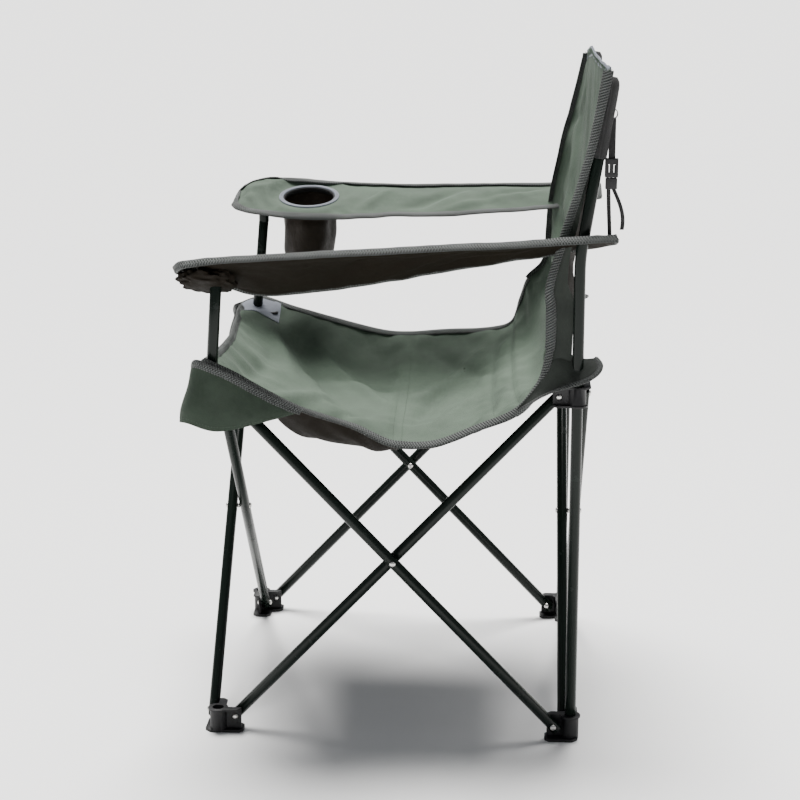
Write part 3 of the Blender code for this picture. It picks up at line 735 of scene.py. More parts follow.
def tube_mesh(name, path, radius, wall, sides=28):
    """A hollow tube along a path, with rolled rims at its open ends."""
    shape = bmesh.new()
    last = len(path) - 1
    rim = wall * 0.45
    stations = []
    for i, point in enumerate(path):
        ahead = (path[min(i + 1, last)] - path[max(i - 1, 0)]).normalized()
        stations.append((point, ahead))
    start, end = stations[0], stations[-1]
    outer = [(start[0], start[1], radius - rim)]
    outer += [(start[0] + start[1] * rim, start[1], radius)]
    outer += [(p, a, radius) for p, a in stations[1:-1]]
    outer += [(end[0] - end[1] * rim, end[1], radius), (end[0], end[1], radius - rim)]
    inner = [(end[0], end[1], radius - wall), (end[0] - end[1] * 0.03, end[1], radius - wall)]
    far = [(start[0] + start[1] * 0.03, start[1], radius - wall), (start[0], start[1], radius - wall)]

    def ring_of(centre, ahead, r):
        turn = ahead.to_track_quat("Z", "Y").to_matrix()
        angles = (math.tau * k / sides for k in range(sides))
        return [shape.verts.new(centre + turn @ Vector((math.cos(a) * r, math.sin(a) * r, 0))) for a in angles]

    rings = [ring_of(*station) for station in outer + inner]
    far_rings = [ring_of(*station) for station in far]
    for run in (rings, far_rings + rings[:1]):
        for low, high in zip(run, run[1:]):
            for k in range(sides):
                n = (k + 1) % sides
                shape.faces.new((low[k], low[n], high[n], high[k]))
    shape.faces.new(rings[-1])
    shape.faces.new(far_rings[0])
    bmesh.ops.recalc_face_normals(shape, faces=shape.faces)
    mesh = bpy.data.meshes.new(name)
    shape.to_mesh(mesh)
    shape.free()
    mesh.shade_smooth()
    mesh.set_sharp_from_angle(angle=math.radians(50))
    return mesh


def brace_ends(node):
    """The two ends of a brace's middle line, from its box and the way it leans."""
    low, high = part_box(node)
    middle = (low + high) / 2
    pair = node.split("_")[1]
    across_x = pair in ("left", "right")
    length = math.hypot(2 * PIN_HALF, HUB_PIN_Z - FOOT_PIN_Z) / 2 + 0.009
    slope = math.atan2(2 * PIN_HALF, HUB_PIN_Z - FOOT_PIN_Z)
    foot = node.split("_")[2]
    way = 1 if foot in ("front", "right") else -1
    lean = Vector((0, way, 0)) if across_x else Vector((way, 0, 0))
    direction = lean * math.sin(slope) + Vector((0, 0, math.cos(slope)))
    return middle - direction * length, middle + direction * length


def build_tubes():
    for node in frame["nodes"]:
        if node.startswith("brace"):
            low, high = brace_ends(node)
            path = [low, low.lerp(high, 0.5), high]
        elif node.startswith("post_back"):
            side = 1 if node.endswith("left") else -1
            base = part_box(node)[0].z
            heights = [base, BEND_Z]
            heights += [BEND_Z + BEND_R * math.sin(BEND_ANGLE * k / 6) for k in range(1, 7)]
            heights += [POST_TOP_Z - TUBE_R * math.sin(BEND_ANGLE)]
            path = [Vector((side * CORNER, post_y(z), z)) for z in heights]
        elif node.startswith("arm_post"):
            side = 1 if node.endswith("left") else -1
            top = Vector((side * abs(ARM_TOP.x), ARM_TOP.y, ARM_TOP.z))
            foot = Vector((side * CORNER, -CORNER, HUB_PIN_Z))
            path = [foot - (top - foot).normalized() * 0.012, foot.lerp(top, 0.5), top]
        else:
            continue
        piece = new_piece(node + "_tube", tube_mesh(node + "_tube", path, TUBE_R, 0.001), ["enamel"])
        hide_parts(node)
        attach(piece, BODY_OF[node])


def build_mouldings():
    for node, source in frame["nodes"].items():
        if not node.startswith(("foot", "hub", "slider")):
            continue
        shape = bmesh.new()
        shape.from_mesh(source.data)
        bmesh.ops.remove_doubles(shape, verts=shape.verts, dist=1e-5)
        bmesh.ops.dissolve_limit(shape, angle_limit=math.radians(1.0), verts=shape.verts, edges=shape.edges)
        mesh = bpy.data.meshes.new(node + "_moulding")
        shape.to_mesh(mesh)
        shape.free()
        piece = new_piece(node + "_moulding", mesh, ["plastic"])
        soft = piece.modifiers.new("edges", "BEVEL")
        soft.width = 0.0006
        soft.segments = 2
        soft.limit_method = "ANGLE"
        soft.angle_limit = math.radians(40)
        soft.use_clamp_overlap = True
        graph = bpy.context.evaluated_depsgraph_get()
        eased = bpy.data.meshes.new_from_object(piece.evaluated_get(graph))
        piece.modifiers.clear()
        piece.data = eased
        eased.shade_smooth()
        eased.set_sharp_from_angle(angle=math.radians(32))
        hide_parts(node)
        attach(piece, BODY_OF[node])


def rivet_tree():
    """Domed rivet heads on points: a flattened sphere, turned to each point's axis."""
    tree = bpy.data.node_groups.new("rivets", "GeometryNodeTree")
    face = tree.interface
    face.new_socket("Points", in_out="INPUT", socket_type="NodeSocketGeometry")
    radius = face.new_socket("Head radius", in_out="INPUT", socket_type="NodeSocketFloat")
    radius.default_value = 0.0042
    face.new_socket("Metal", in_out="INPUT", socket_type="NodeSocketMaterial")
    face.new_socket("Rivets", in_out="OUTPUT", socket_type="NodeSocketGeometry")
    nodes, links = tree.nodes, tree.links
    given = nodes.new("NodeGroupInput")
    dome = nodes.new("GeometryNodeMeshUVSphere")
    dome.inputs["Segments"].default_value = 24
    dome.inputs["Rings"].default_value = 12
    links.new(given.outputs["Head radius"], dome.inputs["Radius"])
    flat = nodes.new("GeometryNodeTransform")
    flat.inputs["Scale"].default_value = (1.0, 1.0, 0.62)
    links.new(dome.outputs["Mesh"], flat.inputs["Geometry"])
    read = nodes.new("GeometryNodeInputNamedAttribute")
    read.data_type = "FLOAT_VECTOR"
    read.inputs["Name"].default_value = "axis"
    aimed = nodes.new("FunctionNodeAlignRotationToVector")
    aimed.axis = "Z"
    links.new(read.outputs["Attribute"], aimed.inputs["Vector"])
    spread = nodes.new("GeometryNodeInstanceOnPoints")
    links.new(given.outputs["Points"], spread.inputs["Points"])
    links.new(flat.outputs["Geometry"], spread.inputs["Instance"])
    links.new(aimed.outputs["Rotation"], spread.inputs["Rotation"])
    real = nodes.new("GeometryNodeRealizeInstances")
    links.new(spread.outputs["Instances"], real.inputs["Geometry"])
    looked = nodes.new("GeometryNodeSetMaterial")
    links.new(real.outputs["Geometry"], looked.inputs["Geometry"])
    links.new(given.outputs["Metal"], looked.inputs["Material"])
    result = nodes.new("NodeGroupOutput")
    links.new(looked.outputs["Geometry"], result.inputs["Rivets"])
    return tree


def build_rivets():
    """Each body's rivet heads are one piece, and the frame's own rivets are hidden."""
    tree = rivet_tree()
    for body in frame["bodies"]:
        rivets = [node for node in frame["nodes"] if node.startswith("rivet") and BODY_OF[node] == body]
        if not rivets:
            continue
        spots, axes = [], []
        for node in rivets:
            low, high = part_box(node)
            extent = high - low
            axis = Vector((1, 0, 0)) if node.split("_")[1] in ("left", "right") else Vector((0, 1, 0))
            middle = (low + high) / 2
            reach = extent.dot(axis) / 2 - RIVET_SEAT
            for way in (-1, 1):
                spots.append(tuple(middle + axis * reach * way))
                axes.append(tuple(axis * way))
            if node.endswith("middle"):
                spots.append(tuple(middle))
                axes.append(tuple(axis))
        guide = bpy.data.meshes.new(body + "_rivet_points")
        guide.from_pydata(spots, [], [])
        layer = guide.attributes.new("axis", "FLOAT_VECTOR", "POINT")
        layer.data.foreach_set("vector", np.array(axes, np.float32).ravel())
        obj = bpy.data.objects.new(body + "_rivet_points", guide)
        bpy.context.scene.collection.objects.link(obj)
        step = obj.modifiers.new("rivets", "NODES")
        step.node_group = tree
        values = {"Head radius": 0.0043, "Metal": LOOKS["zinc"]}
        for item in tree.interface.items_tree:
            if item.in_out == "INPUT" and item.name in values:
                step[item.identifier] = values[item.name]
        graph = bpy.context.evaluated_depsgraph_get()
        mesh = bpy.data.meshes.new_from_object(obj.evaluated_get(graph), depsgraph=graph)
        mesh.name = body + "_rivets"
        mesh.shade_smooth()
        bpy.data.objects.remove(obj, do_unlink=True)
        made = bpy.data.objects.new(body + "_rivets", mesh)
        bpy.context.scene.collection.objects.link(made)
        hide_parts(*rivets)
        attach(made, body)


# ---------------------------------------------------------------- the sling: seat and back in one cloth

# Stations from the front edge to the top edge: left edge (x, y, z), middle (y, z), right edge (x, y, z)
STATIONS = (
    ((0.281, -0.266, 0.560), (-0.264, 0.538), (-0.281, -0.286, 0.534)),
    ((0.283, -0.224, 0.543), (-0.222, 0.510), (-0.283, -0.252, 0.545)),
    ((0.274, -0.180, 0.516), (-0.172, 0.481), (-0.273, -0.200, 0.531)),
    ((0.262, -0.130, 0.489), (-0.118, 0.459), (-0.259, -0.125, 0.513)),
    ((0.250, -0.058, 0.462), (-0.058, 0.444), (-0.252, -0.050, 0.496)),
    ((0.247, -0.002, 0.436), (-0.002, 0.440), (-0.248, -0.002, 0.494)),
    ((0.246, 0.060, 0.437), (0.060, 0.442), (-0.246, 0.060, 0.499)),
    ((0.247, 0.120, 0.461), (0.116, 0.449), (-0.247, 0.120, 0.502)),
    ((0.249, 0.175, 0.486), (0.163, 0.464), (-0.249, 0.165, 0.514)),
    ((0.251, 0.208, 0.530), (0.201, 0.497), (-0.250, 0.180, 0.552)),
    ((0.252, 0.2205, 0.578), (0.222, 0.548), (-0.250, 0.193, 0.587)),
    ((0.252, 0.2215, 0.635), (0.234, 0.612), (-0.252, 0.222, 0.615)),
    ((0.252, 0.2190, 0.668), (0.242, 0.667), (-0.252, 0.229, 0.668)),
    ((0.253, 0.2350, 0.728), (0.250, 0.730), (-0.253, 0.232, 0.728)),
    ((0.259, 0.2580, 0.808), (0.259, 0.805), (-0.257, 0.247, 0.805)),
    ((0.266, 0.2740, 0.870), (0.267, 0.873), (-0.264, 0.264, 0.868)),
    ((0.269, 0.2880, 0.943), (0.276, 0.946), (-0.268, 0.280, 0.932)),
    ((0.267, 0.2920, 0.964), (0.279, 0.975), (-0.266, 0.284, 0.951)),
)
SEAT_SEAM = 5  # the station where the seat's two lengths are sewn together
SEAT_END = 10  # the station where the seat's cloth turns up into the back
SEWN = (SEAT_SEAM, 7.45, 8.2)  # the stations of the seams across the seat
STATION_STEPS = 9
HALF_COLUMNS = 34


def crease(point, start, end, reach, depth):
    """The height of one soft fold along a line from start to end."""
    run = end - start
    t = min(max((point - start).dot(run) / run.length_squared, 0.0), 1.0)
    away = (point - (start + run * t)).length / reach
    fade = math.sin(math.pi * min(max(t, 0.02), 0.98)) ** 0.6
    return depth * math.exp(-away * away) * fade


def creased(point, creases):
    """The height of all of these folds at a point."""
    return sum(crease(point, Vector((*s, 0)), Vector((*e, 0)), r, d) for s, e, r, d in creases)


SEAT_CREASES = (
    # from (x, y) to (x, y), reach, depth
    ((0.235, -0.215), (-0.02, -0.115), 0.013, 0.007),
    ((0.225, -0.18), (0.03, -0.05), 0.012, -0.006),
    ((0.21, -0.235), (-0.10, -0.205), 0.012, -0.006),
    ((-0.235, -0.20), (0.02, -0.08), 0.014, -0.007),
    ((-0.225, -0.165), (-0.01, -0.02), 0.012, 0.006),
    ((-0.235, -0.235), (-0.03, -0.165), 0.012, 0.006),
    ((0.18, 0.02), (-0.10, 0.13), 0.010, 0.0055),
    ((0.22, 0.05), (0.00, 0.155), 0.010, -0.005),
    ((0.225, 0.10), (0.04, 0.175), 0.009, 0.005),
    ((0.10, 0.01), (-0.20, 0.08), 0.010, -0.005),
    ((-0.05, 0.01), (-0.225, 0.14), 0.010, 0.005),
    ((-0.22, 0.03), (-0.08, 0.16), 0.010, -0.004),
    ((0.12, -0.01), (0.02, -0.15), 0.012, 0.004),
    ((-0.10, -0.01), (-0.12, -0.16), 0.012, -0.004),
)
BACK_CREASES = (
    # from (x, z) to (x, z), reach, depth
    ((0.245, 0.70), (0.02, 0.60), 0.014, -0.006),
    ((0.245, 0.745), (0.05, 0.665), 0.012, 0.006),
    ((-0.245, 0.70), (-0.02, 0.60), 0.014, -0.006),
    ((-0.245, 0.75), (-0.04, 0.68), 0.012, 0.005),
    ((0.20, 0.92), (0.08, 0.74), 0.014, 0.006),
    ((0.235, 0.86), (0.15, 0.70), 0.012, -0.006),
    ((-0.20, 0.92), (-0.10, 0.74), 0.014, -0.005),
    ((-0.235, 0.86), (-0.15, 0.70), 0.012, 0.005),
    ((0.13, 0.95), (0.10, 0.80), 0.012, -0.004),
    ((0.22, 0.56), (-0.02, 0.53), 0.010, 0.005),
    ((-0.22, 0.57), (0.02, 0.535), 0.010, 0.005),
    ((0.05, 0.66), (0.0, 0.55), 0.014, 0.004),
)


def sling_grid():
    left = spline([station[0] for station in STATIONS], STATION_STEPS)
    right = spline([station[2] for station in STATIONS], STATION_STEPS)
    middle = spline([(0.0, *station[1]) for station in STATIONS], STATION_STEPS)
    grid = []
    for i, (a, c, b) in enumerate(zip(left, middle, right)):
        row = []
        station = i / STATION_STEPS
        on_back = smoothstep(station, SEAT_END - 1.5, SEAT_END + 1.5)
        power = 1.8 + 0.5 * on_back
        for k in range(-HALF_COLUMNS, HALF_COLUMNS + 1):
            t = abs(k) / HALF_COLUMNS
            edge = b if k < 0 else a
            point = c + (edge - c) * t
            lift = t**power
            point.z = c.z + (edge.z - c.z) * (lift * (1 - on_back) + t * on_back)
            point.y = c.y + (edge.y - c.y) * (t * (1 - on_back) + lift * on_back)
            sag = math.sin(math.pi * min(max((t - 0.30) / 0.70, 0.0), 1.0)) ** 1.3
            under = smoothstep(station, 1.6, 3.4) * (1 - smoothstep(station, 4.6, 6.4))
            point.z -= (0.030 if k > 0 else 0.014) * sag * under
            row.append(point)
        grid.append(row)
    return grid


def ruffle_sling(grid):
    """Folds, creases and puckers, moved along the cloth's normals. The edges keep their place."""
    normals = grid_normals(grid)
    seams = SEWN
    for i, row in enumerate(grid):
        station = i / STATION_STEPS
        on_back = smoothstep(station, SEAT_END - 1.0, SEAT_END + 0.5)
        for k, point in enumerate(row):
            t = abs(k - HALF_COLUMNS) / HALF_COLUMNS
            hold = 1 - t**6
            ends = smoothstep(station, 0.0, 0.6) * (1 - smoothstep(station, 16.2, 17.0) * 0.8)
            flat = Vector((point.x, point.y, 0))
            high = Vector((point.x, point.z, 0))
            height = 0.0
            if on_back < 1:
                folds = creased(flat, SEAT_CREASES)
                height += folds * (1 - on_back) * 1.5
            if on_back > 0:
                folds = creased(high, BACK_CREASES)
                height += folds * on_back * 1.5
            waves = noise.noise(Vector((point.x * 9, point.y * 14, point.z * 7 + 3.1)))
            height += waves * 0.006
            fine = noise.noise(Vector((point.x * 30, point.y * 42, point.z * 22 + 7.7)))
            height += fine * 0.0018
            for seam in seams:
                near = math.exp(-(((station - seam) / 0.10) ** 2))
                close = math.exp(-(((station - seam) / 0.42) ** 2))
                height -= near * 0.0045
                pucker = noise.noise(Vector((point.x * 55, seam * 3.0, 0.5)))
                height += (close - near) * pucker * 0.0060
            point += Vector(normals[i, k]) * (height * hold * ends)
    keep_off_posts(grid)
    return grid


def keep_off_posts(grid):
    for row in grid:
        for point in row:
            if point.z > 0.70:
                beside = (abs(point.x) - CORNER) / (TUBE_R + 0.004)
                limit = post_y(point.z) - (TUBE_R + 0.0022) * math.sqrt(max(0.0, 1 - beside * beside))
                if abs(beside) < 1 and point.y > limit:
                    point.y = limit


def edge_paths(grid, rows, column):
    inner = 4 if column == 0 else -5
    path = [grid[i][column].copy() for i in range(rows[0], rows[1] + 1)]
    inward = [grid[i][inner].copy() for i in range(rows[0], rows[1] + 1)]
    return path, inward


def wrinkled(grid, spare, seams=(), frames=22, most=0.015, pinned=None):
    """The grid after its cloth, cut a little large for its frame, has settled and wrinkled.
    The four edges are held, and the rows in seams are a little short of cloth, so they pucker."""
    height, width = len(grid), len(grid[0])
    mesh = bpy.data.meshes.new("settling")
    faces = []
    for i in range(height - 1):
        for k in range(width - 1):
            a = i * width + k
            faces.append((a, a + 1, a + width + 1, a + width))
    mesh.from_pydata([tuple(point) for row in grid for point in row], [], faces)
    obj = bpy.data.objects.new("settling", mesh)
    bpy.context.scene.collection.objects.link(obj)
    held = obj.vertex_groups.new(name="held")
    short = obj.vertex_groups.new(name="short")
    for i in range(height):
        for k in range(width):
            index = i * width + k
            edge = min(i, height - 1 - i, k, width - 1 - k)
            fast = edge == 0 or (pinned and pinned(grid[i][k]))
            held.add([index], 1.0 if fast else (0.25 if edge == 1 else 0.004), "REPLACE")
            if any(abs(i - row) <= 1 for row in seams):
                short.add([index], 1.0, "REPLACE")
    step = obj.modifiers.new("cloth", "CLOTH")
    rules = step.settings
    rules.quality = 6
    rules.mass = 0.35
    rules.tension_stiffness = 30
    rules.compression_stiffness = 30
    rules.shear_stiffness = 12
    rules.bending_stiffness = 2.5
    rules.air_damping = 2.0
    rules.shrink_min = -spare
    rules.shrink_max = spare * 0.3
    rules.vertex_group_shrink = "short"
    rules.vertex_group_mass = "held"
    rules.effector_weights.gravity = 0.25
    step.collision_settings.use_collision = False
    scene = bpy.context.scene
    for number in range(1, frames + 1):
        scene.frame_set(number)
    graph = bpy.context.evaluated_depsgraph_get()
    settled = bpy.data.meshes.new_from_object(obj.evaluated_get(graph))
    bpy.data.objects.remove(obj, do_unlink=True)
    scene.frame_set(1)
    result = []
    for i in range(height):
        row = []
        for k in range(width):
            start = grid[i][k]
            moved = settled.vertices[i * width + k].co - start
            if moved.length > 1e-9:
                moved = moved.normalized() * most * math.tanh(moved.length / most)
            row.append(start + moved)
        result.append(row)
    return eased(result, 1)


def eased(grid, passes):
    """The grid with its sharpest kinks worked out; its edges keep their place."""
    for _ in range(passes):
        before = [[point.copy() for point in row] for row in grid]
        for i in range(1, len(grid) - 1):
            for k in range(1, len(grid[0]) - 1):
                around = before[i - 1][k] + before[i + 1][k] + before[i][k - 1] + before[i][k + 1]
                grid[i][k] = before[i][k] * 0.5 + around * 0.125
    return grid


def grooved(grid):
    """Presses the seams across the seat and the line sewn inside the back's edges into the cloth."""
    normals = grid_normals(grid)
    last_row, last = len(grid) - 1, len(grid[0]) - 1
    for i, row in enumerate(grid):
        station = i / STATION_STEPS
        for k, point in enumerate(row):
            hold = min(1.0, min(k, last - k) / 3)
            depth = 0.0
            for seam in SEWN:
                depth += 0.0036 * max(0.0, 1 - abs(station - seam) * STATION_STEPS / 1.6) * hold
            sharp = min(1.0, min(i, last_row - i, k, last - k) / 4)
            if station < SEAT_END - 0.5:
                spot, folds = Vector((point.x, point.y, 0)), SEAT_CREASES
            else:
                spot, folds = Vector((point.x, point.z, 0)), BACK_CREASES
            for s, e, reach, height in folds:
                depth -= crease(spot, Vector((*s, 0)), Vector((*e, 0)), reach * 0.80, height * 0.70) * sharp
            if station > SEAT_END + 1:
                for inset in (3, last - 3):
                    depth += 0.0022 * max(0.0, 1 - abs(k - inset) / 1.5) * (i < last_row - 3)
                depth += 0.0022 * max(0.0, 1 - abs(i - (last_row - 4)) / 1.5) * hold
            point -= Vector(normals[i, k]) * depth
    eased(grid, 2)


def sling_cloth():
    """The sling's finished grid, made once."""
    if "grid" not in SLING:
        grid = ruffle_sling(sling_grid())
        grid = wrinkled(grid, 0.045, [round(seam * STATION_STEPS) for seam in SEWN], most=0.020)
        grooved(grid)
        keep_off_posts(grid)
        SLING["grid"] = grid
    return SLING["grid"]


def build_sling():
    grid = sling_cloth()
    normals = grid_normals(grid)
    thick = sizes().cloth
    width, height = sizes().binding, sizes().tape
    seam_row = SEAT_SEAM * STATION_STEPS
    end_row = SEAT_END * STATION_STEPS
    top_row = len(grid) - 1
    middle = HALF_COLUMNS
    last = 2 * HALF_COLUMNS
    quarters = {
        "front_left": ((0, seam_row), (middle, last)),
        "front_right": ((0, seam_row), (0, middle)),
        "back_left": ((seam_row, end_row), (middle, last)),
        "back_right": ((seam_row, end_row), (0, middle)),
    }
    for name, (rows, columns) in quarters.items():
        front = name.startswith("front")
        side = 1 if name.endswith("left") else -1
        sheet = cloth(f"seat_{name}_cloth", grid, ["canvas", "lining"], thick, rows, columns)
        trims = bound_edge(
            f"seat_{name}_side_tape", *edge_paths(grid, rows, last if side > 0 else 0), width, height,
            turn=math.radians(62 if side > 0 else 8),
        )
        if front:
            path = [grid[0][k].copy() for k in range(columns[0], columns[1] + 1)]
            inward = [grid[4][k].copy() for k in range(columns[0], columns[1] + 1)]
            trims += bound_edge(f"seat_{name}_front_tape", path, inward, width, height)
        else:
            for number, station in enumerate((7.45, 8.2)):
                row = round(station * STATION_STEPS)
                run = [grid[row][k].copy() for k in range(columns[0], columns[1] + 1)]
                lift = [normals[row, k] for k in range(columns[0], columns[1] + 1)]
                trims.append(run_of_stitches(f"seat_{name}_seam_{number}", run, lift))
        row = seam_row + (-1 if front else 1)
        fell = (seam_row - 1, seam_row) if front else (seam_row, seam_row + 1)
        trims.append(cloth(f"seat_{name}_felled_seam", grid, ["canvas"], 0.0012, fell, columns, lift=0.0009))
        run = [grid[row][k].copy() for k in range(columns[0], columns[1] + 1)]
        lift = [normals[row, k] for k in range(columns[0], columns[1] + 1)]
        trims.append(run_of_stitches(f"seat_{name}_middle_seam", run, lift))
        corner = Vector((side * CORNER, -CORNER if front else CORNER, 0.535))
        inward = Vector((-side, 1 if front else -1, 0)).normalized()
        across = Vector((inward.y, -inward.x, 0))
        squash = {"joint": f"seat_{name}_drop", "axis": across, "anchor": corner, "keep": 0.22}
        settle([sheet, *trims], f"seat_{name}_quarter", squash)
        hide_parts(f"seat_{name}")
        post = f"post_back_{'left' if side > 0 else 'right'}_tube"
    for name, side in SIDES.items():
        columns = (middle, last) if side > 0 else (0, middle)
        rows = (end_row, top_row)
        sheet = cloth(f"back_{name}_cloth", grid, ["canvas", "lining"], thick, rows, columns)
        trims = bound_edge(
            f"back_{name}_side_tape", *edge_paths(grid, rows, last if side > 0 else 0), 0.0150, height,
            turn=math.radians(72), lift=(0, -1, 0.3),
        )
        path = [grid[top_row][k].copy() for k in range(columns[0], columns[1] + 1)]
        inward = [grid[top_row - 4][k].copy() for k in range(columns[0], columns[1] + 1)]
        trims += bound_edge(f"back_{name}_top_tape", path, inward, 0.016, height, "patch", "thread_green", 0.004)
        inset = last - 3 if side > 0 else 3
        line = range(end_row + STATION_STEPS, top_row - 3)
        run = [grid[i][inset].copy() for i in line]
        trims.append(run_of_stitches(f"back_{name}_side_seam", run, [normals[i, inset] for i in line]))
        line = [k for k in range(columns[0], columns[1] + 1) if 3 <= k <= last - 3]
        run = [grid[top_row - 4][k].copy() for k in line]
        trims.append(run_of_stitches(f"back_{name}_top_seam", run, [normals[top_row - 4, k] for k in line]))
        settle([sheet, *trims], f"back_{name}_half", {
            "joint": f"back_{name}_pleat",
            "axis": (0, 1, 0),
            "anchor": (side * CORNER, CORNER, 0.7),
            "keep": 0.5,
        })
        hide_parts(f"back_{name}")


# ---------------------------------------------------------------- corners of the seat


def between(first, second, columns, belly=0.0, out=None):
    """A grid between two runs of points, bulged by a belly along out."""
    grid = []
    for a, b in zip(first, second):
        row = []
        for k in range(columns + 1):
            t = k / columns
            point = a.lerp(b, t)
            if out is not None:
                point += Vector(out) * (belly * math.sin(math.pi * t))
            row.append(point)
        grid.append(row)
    return grid


def crumple(grid, depth, scale, seed, hold_edges=True):
    """Moves a grid's points along its normals by smooth noise."""
    normals = grid_normals(grid)
    rows, columns = len(grid) - 1, len(grid[0]) - 1
    for i, row in enumerate(grid):
        for k, point in enumerate(row):
            share = 1.0
            if hold_edges:
                share = min(1.0, 4 * min(i / rows, 1 - i / rows, k / columns, 1 - k / columns) + 0.15)
            place = Vector((point.x * scale[0], point.y * scale[1], point.z * scale[2]))
            place += Vector((seed, seed, 0))
            point += Vector(normals[i, k]) * (noise.noise(place) * depth * share)
    return grid


FLAP_TOP = {
    "left": ((0.236, -0.276, 0.546), (0.262, -0.281, 0.557), (0.281, -0.266, 0.561), (0.284, -0.224, 0.544),
             (0.275, -0.180, 0.517), (0.263, -0.130, 0.490)),
    "right": ((-0.236, -0.290, 0.530), (-0.262, -0.296, 0.534), (-0.281, -0.286, 0.536), (-0.284, -0.252, 0.545),
              (-0.274, -0.200, 0.532), (-0.262, -0.140, 0.517)),
}
FLAP_LOW = {
    "left": ((0.238, -0.290, 0.480), (0.268, -0.301, 0.472), (0.289, -0.287, 0.474), (0.290, -0.245, 0.463),
             (0.285, -0.188, 0.474), (0.266, -0.133, 0.486)),
    "right": ((-0.238, -0.300, 0.472), (-0.268, -0.306, 0.466), (-0.288, -0.296, 0.468), (-0.290, -0.250, 0.462),
              (-0.284, -0.195, 0.480), (-0.264, -0.142, 0.512)),
}


def build_corners():
    """The seat's front corners: silver patches round the arm posts, and flaps that hide the hubs."""
    grid = sling_cloth()
    width, height = sizes().binding, sizes().tape
    last = 2 * HALF_COLUMNS
    for name, side in SIDES.items():
        hub = f"front_{name}_hub"
        top = spline(FLAP_TOP[name], 8)
        low = spline(FLAP_LOW[name], 8)
        flap = crumple(between(top, low, 14, 0.004, (side, -0.3, 0)), 0.005, (30, 30, 22), 1.0 + side)
        # The flap's upper face takes the darker copy of the canvas: painted shade.
        sheet = cloth(f"corner_flap_{name}_cloth", flap, ["flap_canvas", "lining"], up=side)
        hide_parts(f"corner_flap_{name}")
        normals = grid_normals(flap) * side
        hem = [row[-2].copy() for row in flap]
        trims = [run_of_stitches(f"corner_flap_{name}_hem", hem, [n[-2] for n in normals])]
        brim = [row[0].copy() for row in flap]
        below = [row[4].copy() for row in flap]
        trims += bound_edge(f"corner_flap_{name}_top_tape", brim, below, width, height, lap=0.12)
        front = [point.copy() for point in flap[0]]
        inward = [point.copy() for point in flap[3]]
        trims += bound_edge(f"corner_flap_{name}_front_tape", front, inward, 0.007, 0.003)
        settle([sheet, *trims], hub)
        columns = (last - 7, last) if side > 0 else (0, 7)
        rows = (1, 15)
        patch = cloth(f"post_patch_{name}", grid, ["patch"], 0.0008, rows, columns, lift=0.0011)
        inner = columns[0] if side > 0 else columns[1]
        normals = grid_normals(grid)
        run = [grid[i][inner] + Vector(normals[i, inner]) * 0.0014 for i in range(rows[0], rows[1] + 1)]
        lift = [normals[i, inner] for i in range(rows[0], rows[1] + 1)]
        seam = run_of_stitches(f"post_patch_{name}_seam", run, lift)
        corner = Vector((side * CORNER, -CORNER, 0.535))
        across = Vector((side, 1, 0)).normalized()
        settle([patch, seam], f"seat_front_{name}_quarter", {
            "joint": f"seat_front_{name}_drop", "axis": across, "anchor": corner, "keep": 0.22,
        })


TAB_OUTER = (
    (0.250, 0.172, 0.485), (0.272, 0.2125, 0.518), (0.286, 0.2487, 0.5345), (0.285, 0.2704, 0.542),
    (0.273, 0.286, 0.551), (0.254, 0.290, 0.558), (0.236, 0.284, 0.563),
)
TAB_INNER = {
    "left": (
        (0.249, 0.170, 0.486), (0.251, 0.203, 0.527), (0.250, 0.221, 0.560), (0.247, 0.225, 0.572),
        (0.242, 0.228, 0.577), (0.236, 0.232, 0.577), (0.229, 0.240, 0.572),
    ),
    "right": (
        (0.249, 0.167, 0.512), (0.250, 0.179, 0.548), (0.249, 0.196, 0.568), (0.247, 0.215, 0.574),
        (0.242, 0.226, 0.577), (0.236, 0.232, 0.577), (0.229, 0.240, 0.572),
    ),
}


RETURNS = {
    # x, then y and z at the back's edge, then y and z at the far edge
    "left": (
        (0.2515, 0.2225, 0.560, 0.2490, 0.556), (0.2515, 0.2222, 0.600, 0.2498, 0.600),
        (0.2515, 0.2210, 0.640, 0.2500, 0.648), (0.2515, 0.2195, 0.665, 0.2420, 0.672),
        (0.2525, 0.2300, 0.710, 0.2440, 0.712), (0.2545, 0.2420, 0.755, 0.2540, 0.755),
        (0.2580, 0.2570, 0.805, 0.2630, 0.805), (0.2620, 0.2660, 0.842, 0.2700, 0.842),
    ),
    "right": (
        (0.2495, 0.1730, 0.532, 0.2300, 0.556), (0.2500, 0.1840, 0.560, 0.2430, 0.566),
        (0.2500, 0.1950, 0.588, 0.2480, 0.588), (0.2515, 0.2180, 0.614, 0.2495, 0.616),
        (0.2520, 0.2270, 0.650, 0.2500, 0.648), (0.2520, 0.2295, 0.680, 0.2470, 0.680),
        (0.2530, 0.2310, 0.720, 0.2480, 0.720), (0.2550, 0.2380, 0.765, 0.2540, 0.765),
        (0.2570, 0.2470, 0.805, 0.2610, 0.805), (0.2610, 0.2570, 0.842, 0.2690, 0.842),
    ),
}


